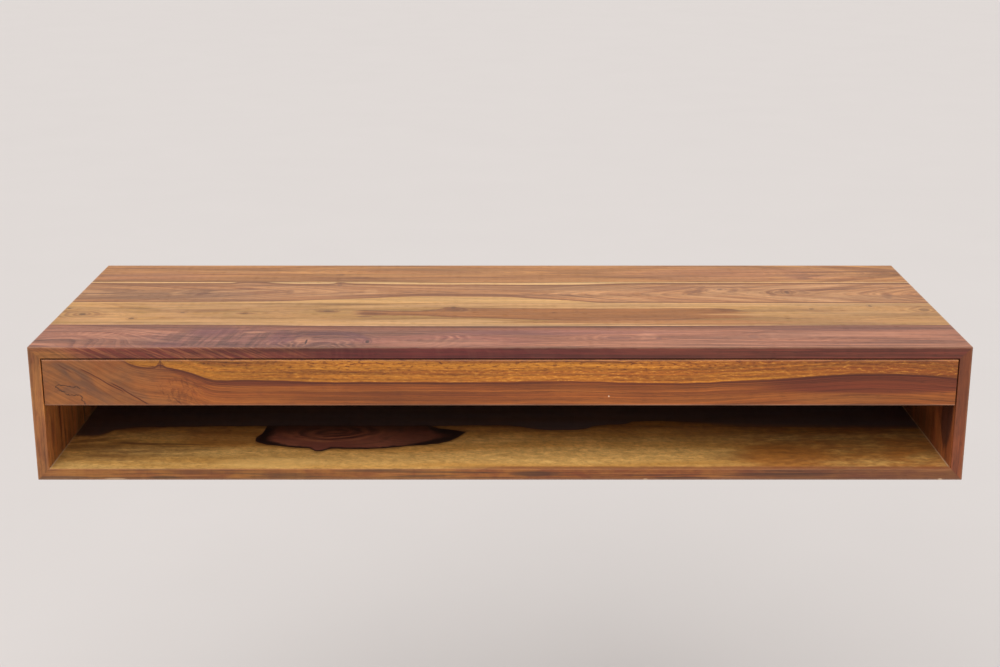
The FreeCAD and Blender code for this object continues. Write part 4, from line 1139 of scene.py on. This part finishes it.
def woodMaterial(name, figure, place, coat=0.08, bump=0.25):
    # place turns the object's own position into what the figure takes
    def build(d, position):
        label, vector = place(d, position)
        drawn = d.use(figures[figure], {label: vector})
        # the arrises are paler: partly wear, partly a painted highlight
        wearAndHighlight = d.use(arris, {"Place": position})["Mask"]
        colour = d.mix(wearAndHighlight * lacquer["wearAndHighlight"], drawn["Colour"], lacquer["wearAndHighlightTone"])
        dusty = d.noise(position, 3, 0.6, lacquer["dustSize"])
        return {
            "Base Color": colour,
            "Roughness": drawn["Roughness"] + (dusty - 0.5) * lacquer["dust"],
            "Normal": bumped(d, drawn["Height"], bump, lacquer["reliefHeight"]),
            "IOR": lacquer["ior"], "Coat Weight": coat, "Coat Roughness": lacquer["coatRoughness"],
        }

    return material(name, build)


def unfolded(d, position):
    return "Grain", d.use(unfoldedGrain, {"Place": position})["Grain"]


def plain(d, position):
    return "Place", position


def mapped(turn, move):  # turn in degrees, move in metres: the grain of one board
    def place(d, position):
        plugs = {"Vector": position, "Location": move, "Rotation": tuple(math.radians(a) for a in turn)}
        return "Grain", d.wire(d.put("Mapping", plugs))

    return place


def dress(names, look):
    for name in names:
        slots = nodes[name].data.materials
        slots.clear()
        slots.append(look)


staves = {
    "front": "frontStave", "mid_front": "midFrontStave", "mid_rear": "midRearStave", "rear": "rearStave",
}
for part, figure in staves.items():
    boards = [f"{panel}_stave_{part}" for panel in ("top", "left_side", "right_side")]
    dress(boards, woodMaterial(f"rosewood_{part}", figure, unfolded))
bottomPlace = mapped((0, 0, 0), (0, depth, -bottomLevel - boardThickness))
bottomMaterial = woodMaterial("rosewood_bottom", "bottomBoard", bottomPlace)
dress([f"bottom_stave_{part}" for part in ("front", "middle", "rear")], bottomMaterial)
dress(["drawer_front"], woodMaterial("rosewood_drawer_front", "drawerFront", plain))
splines = [f"corner_spline_{level}_{side}" for level in ("top", "bottom") for side in ("left", "right")]
dress(splines, woodMaterial("spline_wood", "splineWood", mapped((0, 0, 90), (0, 0, 0)), 0))

alongX = mapped((90, 0, 0), (0, 0, 0))
dress(["drawer_sub_front", "drawer_back"], woodMaterial("drawer_cross_wood", "boxWood", alongX, 0.05))
for side, shift in (("left", 0.3), ("right", 0.7)):
    place = mapped((0, 90, 90), (shift, 0, shift))
    dress([f"drawer_side_{side}"], woodMaterial(f"drawer_side_wood_{side}", "boxWood", place, 0.05))
cleatMaterial = woodMaterial("cleat_wood", "cleatWood", alongX, 0, 0.35)
dress(["hanging_cleat", "wall_cleat", "lower_batten"], cleatMaterial)
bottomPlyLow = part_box("drawer_bottom")[0].z
drawerPly = woodMaterial("drawer_plywood", "palePly", mapped((0, 0, 0), (0, 0, -bottomPlyLow)), 0.05)
dress(["drawer_bottom"], drawerPly)
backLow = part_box("back_panel")[1].y
dress(["back_panel"], woodMaterial("back_plywood", "darkPly", mapped((90, 0, 0), (0, 0, -backLow)), 0))

print("desk: metal and plastic")


def drawMetal(d, take):
    # rolled steel: faint lines along the runner, soft cloudy plating and small scuffs
    x, y, z = d.split(take["Place"])
    rolled = d.noise((x * 900, y * 6, z * 900), 2)
    cloud = d.noise(take["Place"], 3, 0.55, 60)
    scuff = d.noise((x * 500, y * 45, z * 500), 2)
    return {
        "Rolled": rolled,
        "Cloud": d.step(cloud, 0.35, 0.65),
        "Scuff": d.step(scuff, 0.62, 0.74),
    }


metalMarks = toolGroup("metalMarks", {"Place": None}, ["Rolled", "Cloud", "Scuff"], drawMetal)
metals = {
    "zinc_steel": {"pale": (205, 208, 212), "deep": (176, 181, 188), "rough": 0.3},
    "cage_steel": {"pale": (168, 170, 172), "deep": (132, 134, 138), "rough": 0.38},
    "ball_steel": {"pale": (222, 224, 228), "deep": (196, 199, 204), "rough": 0.12},
    "screw_steel": {"pale": (214, 190, 128), "deep": (188, 158, 96), "rough": 0.32},
}


def metalMaterial(name, finish):
    def build(d, position):
        marks = d.use(metalMarks, {"Place": position})
        colour = d.mix(marks["Cloud"], finish["deep"], finish["pale"])
        return {
            "Base Color": d.shade(colour, 1 - marks["Scuff"] * 0.2),
            "Roughness": marks["Cloud"] * 0.1 + marks["Scuff"] * 0.15 + finish["rough"],
            "Normal": bumped(d, marks["Rolled"] - marks["Scuff"] * 0.5, 0.12, 0.0001),
            "Metallic": 1,
        }

    return material(name, build)


plasticSet = {"black": (26, 26, 28), "rubbed": (48, 48, 50), "relief": 0.25, "reliefHeight": 0.0001}


def drawPlastic(d, position):  # a fine leathery skin, rubbed paler in places
    skin = d.noise(position, 2, 0.6, 1400)
    rub = d.step(d.noise(position, 3, 0.6, 120), 0.45, 0.7)
    return {
        "Base Color": d.mix(rub * 0.5, plasticSet["black"], plasticSet["rubbed"]),
        "Roughness": 0.42 + rub * 0.15,
        "Normal": bumped(d, skin, plasticSet["relief"], plasticSet["reliefHeight"]),
    }


steel = {name: metalMaterial(name, finish) for name, finish in metals.items()}
plastic = material("black_plastic", drawPlastic)

sides = ("left", "right")
bearings = ("outer", "inner")
dress([f"runner_{part}_member_{s}" for part in ("middle", *bearings) for s in sides], steel["zinc_steel"])
dress([f"{part}_ball_retainer_{s}" for part in bearings for s in sides], steel["cage_steel"])
dress([f"{part}_balls_{s}" for part in bearings for s in sides], steel["ball_steel"])
screwNames = [n for n in nodes if n.endswith("_screws") or "_screws_" in n or n.startswith("lever_rivet")]
dress(screwNames, steel["screw_steel"])
dress([f"{part}_{s}" for part in ("release_lever", "runner_rear_bumper") for s in sides], plastic)

print("desk: floor, light and camera")
stageSet = {
    "floorLevel": bottomLevel - 0.75, "floorHalf": 60, "floorTone": (210, 204, 201),
    "floorGrit": 0.03, "floorRoughness": 0.9, "floorShine": 0.1,
    "sky": 0.48, "skyTone": (252, 251, 250),
    "skySeen": 0.82, "skySeenTone": (244.5, 238, 234), "skyTop": 0.24,
    "sun": 2.8, "sunTurn": (36, -14), "sunSoftness": 60,
}
grid = np.linspace(-stageSet["floorHalf"], stageSet["floorHalf"], 3)
xs, ys = np.meshgrid(grid, grid, indexing="ij")
level = np.full_like(xs, stageSet["floorLevel"])
points = np.stack([xs, ys, level], -1).reshape(-1, 3)
corner = np.array([0, 3, 4, 1])
starts = np.array([0, 1, 3, 4])
floorMesh = bpy.data.meshes.new("studio_floor")
floorMesh.from_pydata(points.tolist(), [], (starts[:, None] + corner).tolist())
floor = bpy.data.objects.new("studio_floor", floorMesh)
bpy.context.scene.collection.objects.link(floor)


def drawFloor(d, position):
    grit = d.noise(position, 3, 0.5, 3)
    amount = (1 - stageSet["floorGrit"] / 2) + grit * stageSet["floorGrit"]
    return {
        "Base Color": d.shade(tone(*stageSet["floorTone"])[:3], amount),
        "Roughness": stageSet["floorRoughness"], "Specular IOR Level": stageSet["floorShine"],
    }


floorMesh.materials.append(material("studio_floor_paint", drawFloor))

world = bpy.data.worlds.new("studio")
bpy.context.scene.world = world
world.use_nodes = True
world.node_tree.nodes.clear()
d = Draft(world.node_tree)
path = d.put("LightPath")
rays = d.larger(*(d.wire(path, f"Is {kind} Ray") for kind in ("Camera", "Glossy", "Transmission")))
height = d.split(d.wire(d.put("TexCoord"), "Generated"))[2]
seen = rays * d.step(height, stageSet["skyTop"], stageSet["skyTop"] / 2)
strength = seen * (stageSet["skySeen"] - stageSet["sky"]) + stageSet["sky"]
skyColour = d.mix(seen, stageSet["skyTone"], stageSet["skySeenTone"])
back = d.put("Background", {"Color": skyColour, "Strength": strength})
world.node_tree.links.new(back.outputs[0], world.node_tree.nodes.new("ShaderNodeOutputWorld").inputs[0])

sunData = bpy.data.lights.new("soft_overhead", "SUN")
sunData.energy = stageSet["sun"]
sunData.angle = math.radians(stageSet["sunSoftness"])
sun = bpy.data.objects.new("soft_overhead", sunData)
sun.rotation_euler = (math.radians(stageSet["sunTurn"][0]), math.radians(stageSet["sunTurn"][1]), 0)
bpy.context.scene.collection.objects.link(sun)

view = {
    "place": (-0.00144, -2.16566, 0.61721), "tilt": 73.84, "focalPixels": 1585.79,
    "frameWidth": 1000, "sensor": 36, "centreX": 498.8,
}
cameraData = bpy.data.cameras.new("camera")
cameraData.sensor_width = view["sensor"]
cameraData.sensor_fit = "HORIZONTAL"
cameraData.lens = view["focalPixels"] * view["sensor"] / view["frameWidth"]
cameraData.shift_x = (view["frameWidth"] / 2 - view["centreX"]) / view["frameWidth"]
cameraData.clip_end = 200
camera = bpy.data.objects.new("camera", cameraData)
camera.location = view["place"]
camera.rotation_euler = (math.radians(view["tilt"]), 0, 0)
bpy.context.scene.collection.objects.link(camera)
bpy.context.scene.camera = camera
bpy.context.scene.view_settings.view_transform = "Standard"

print("desk: done")
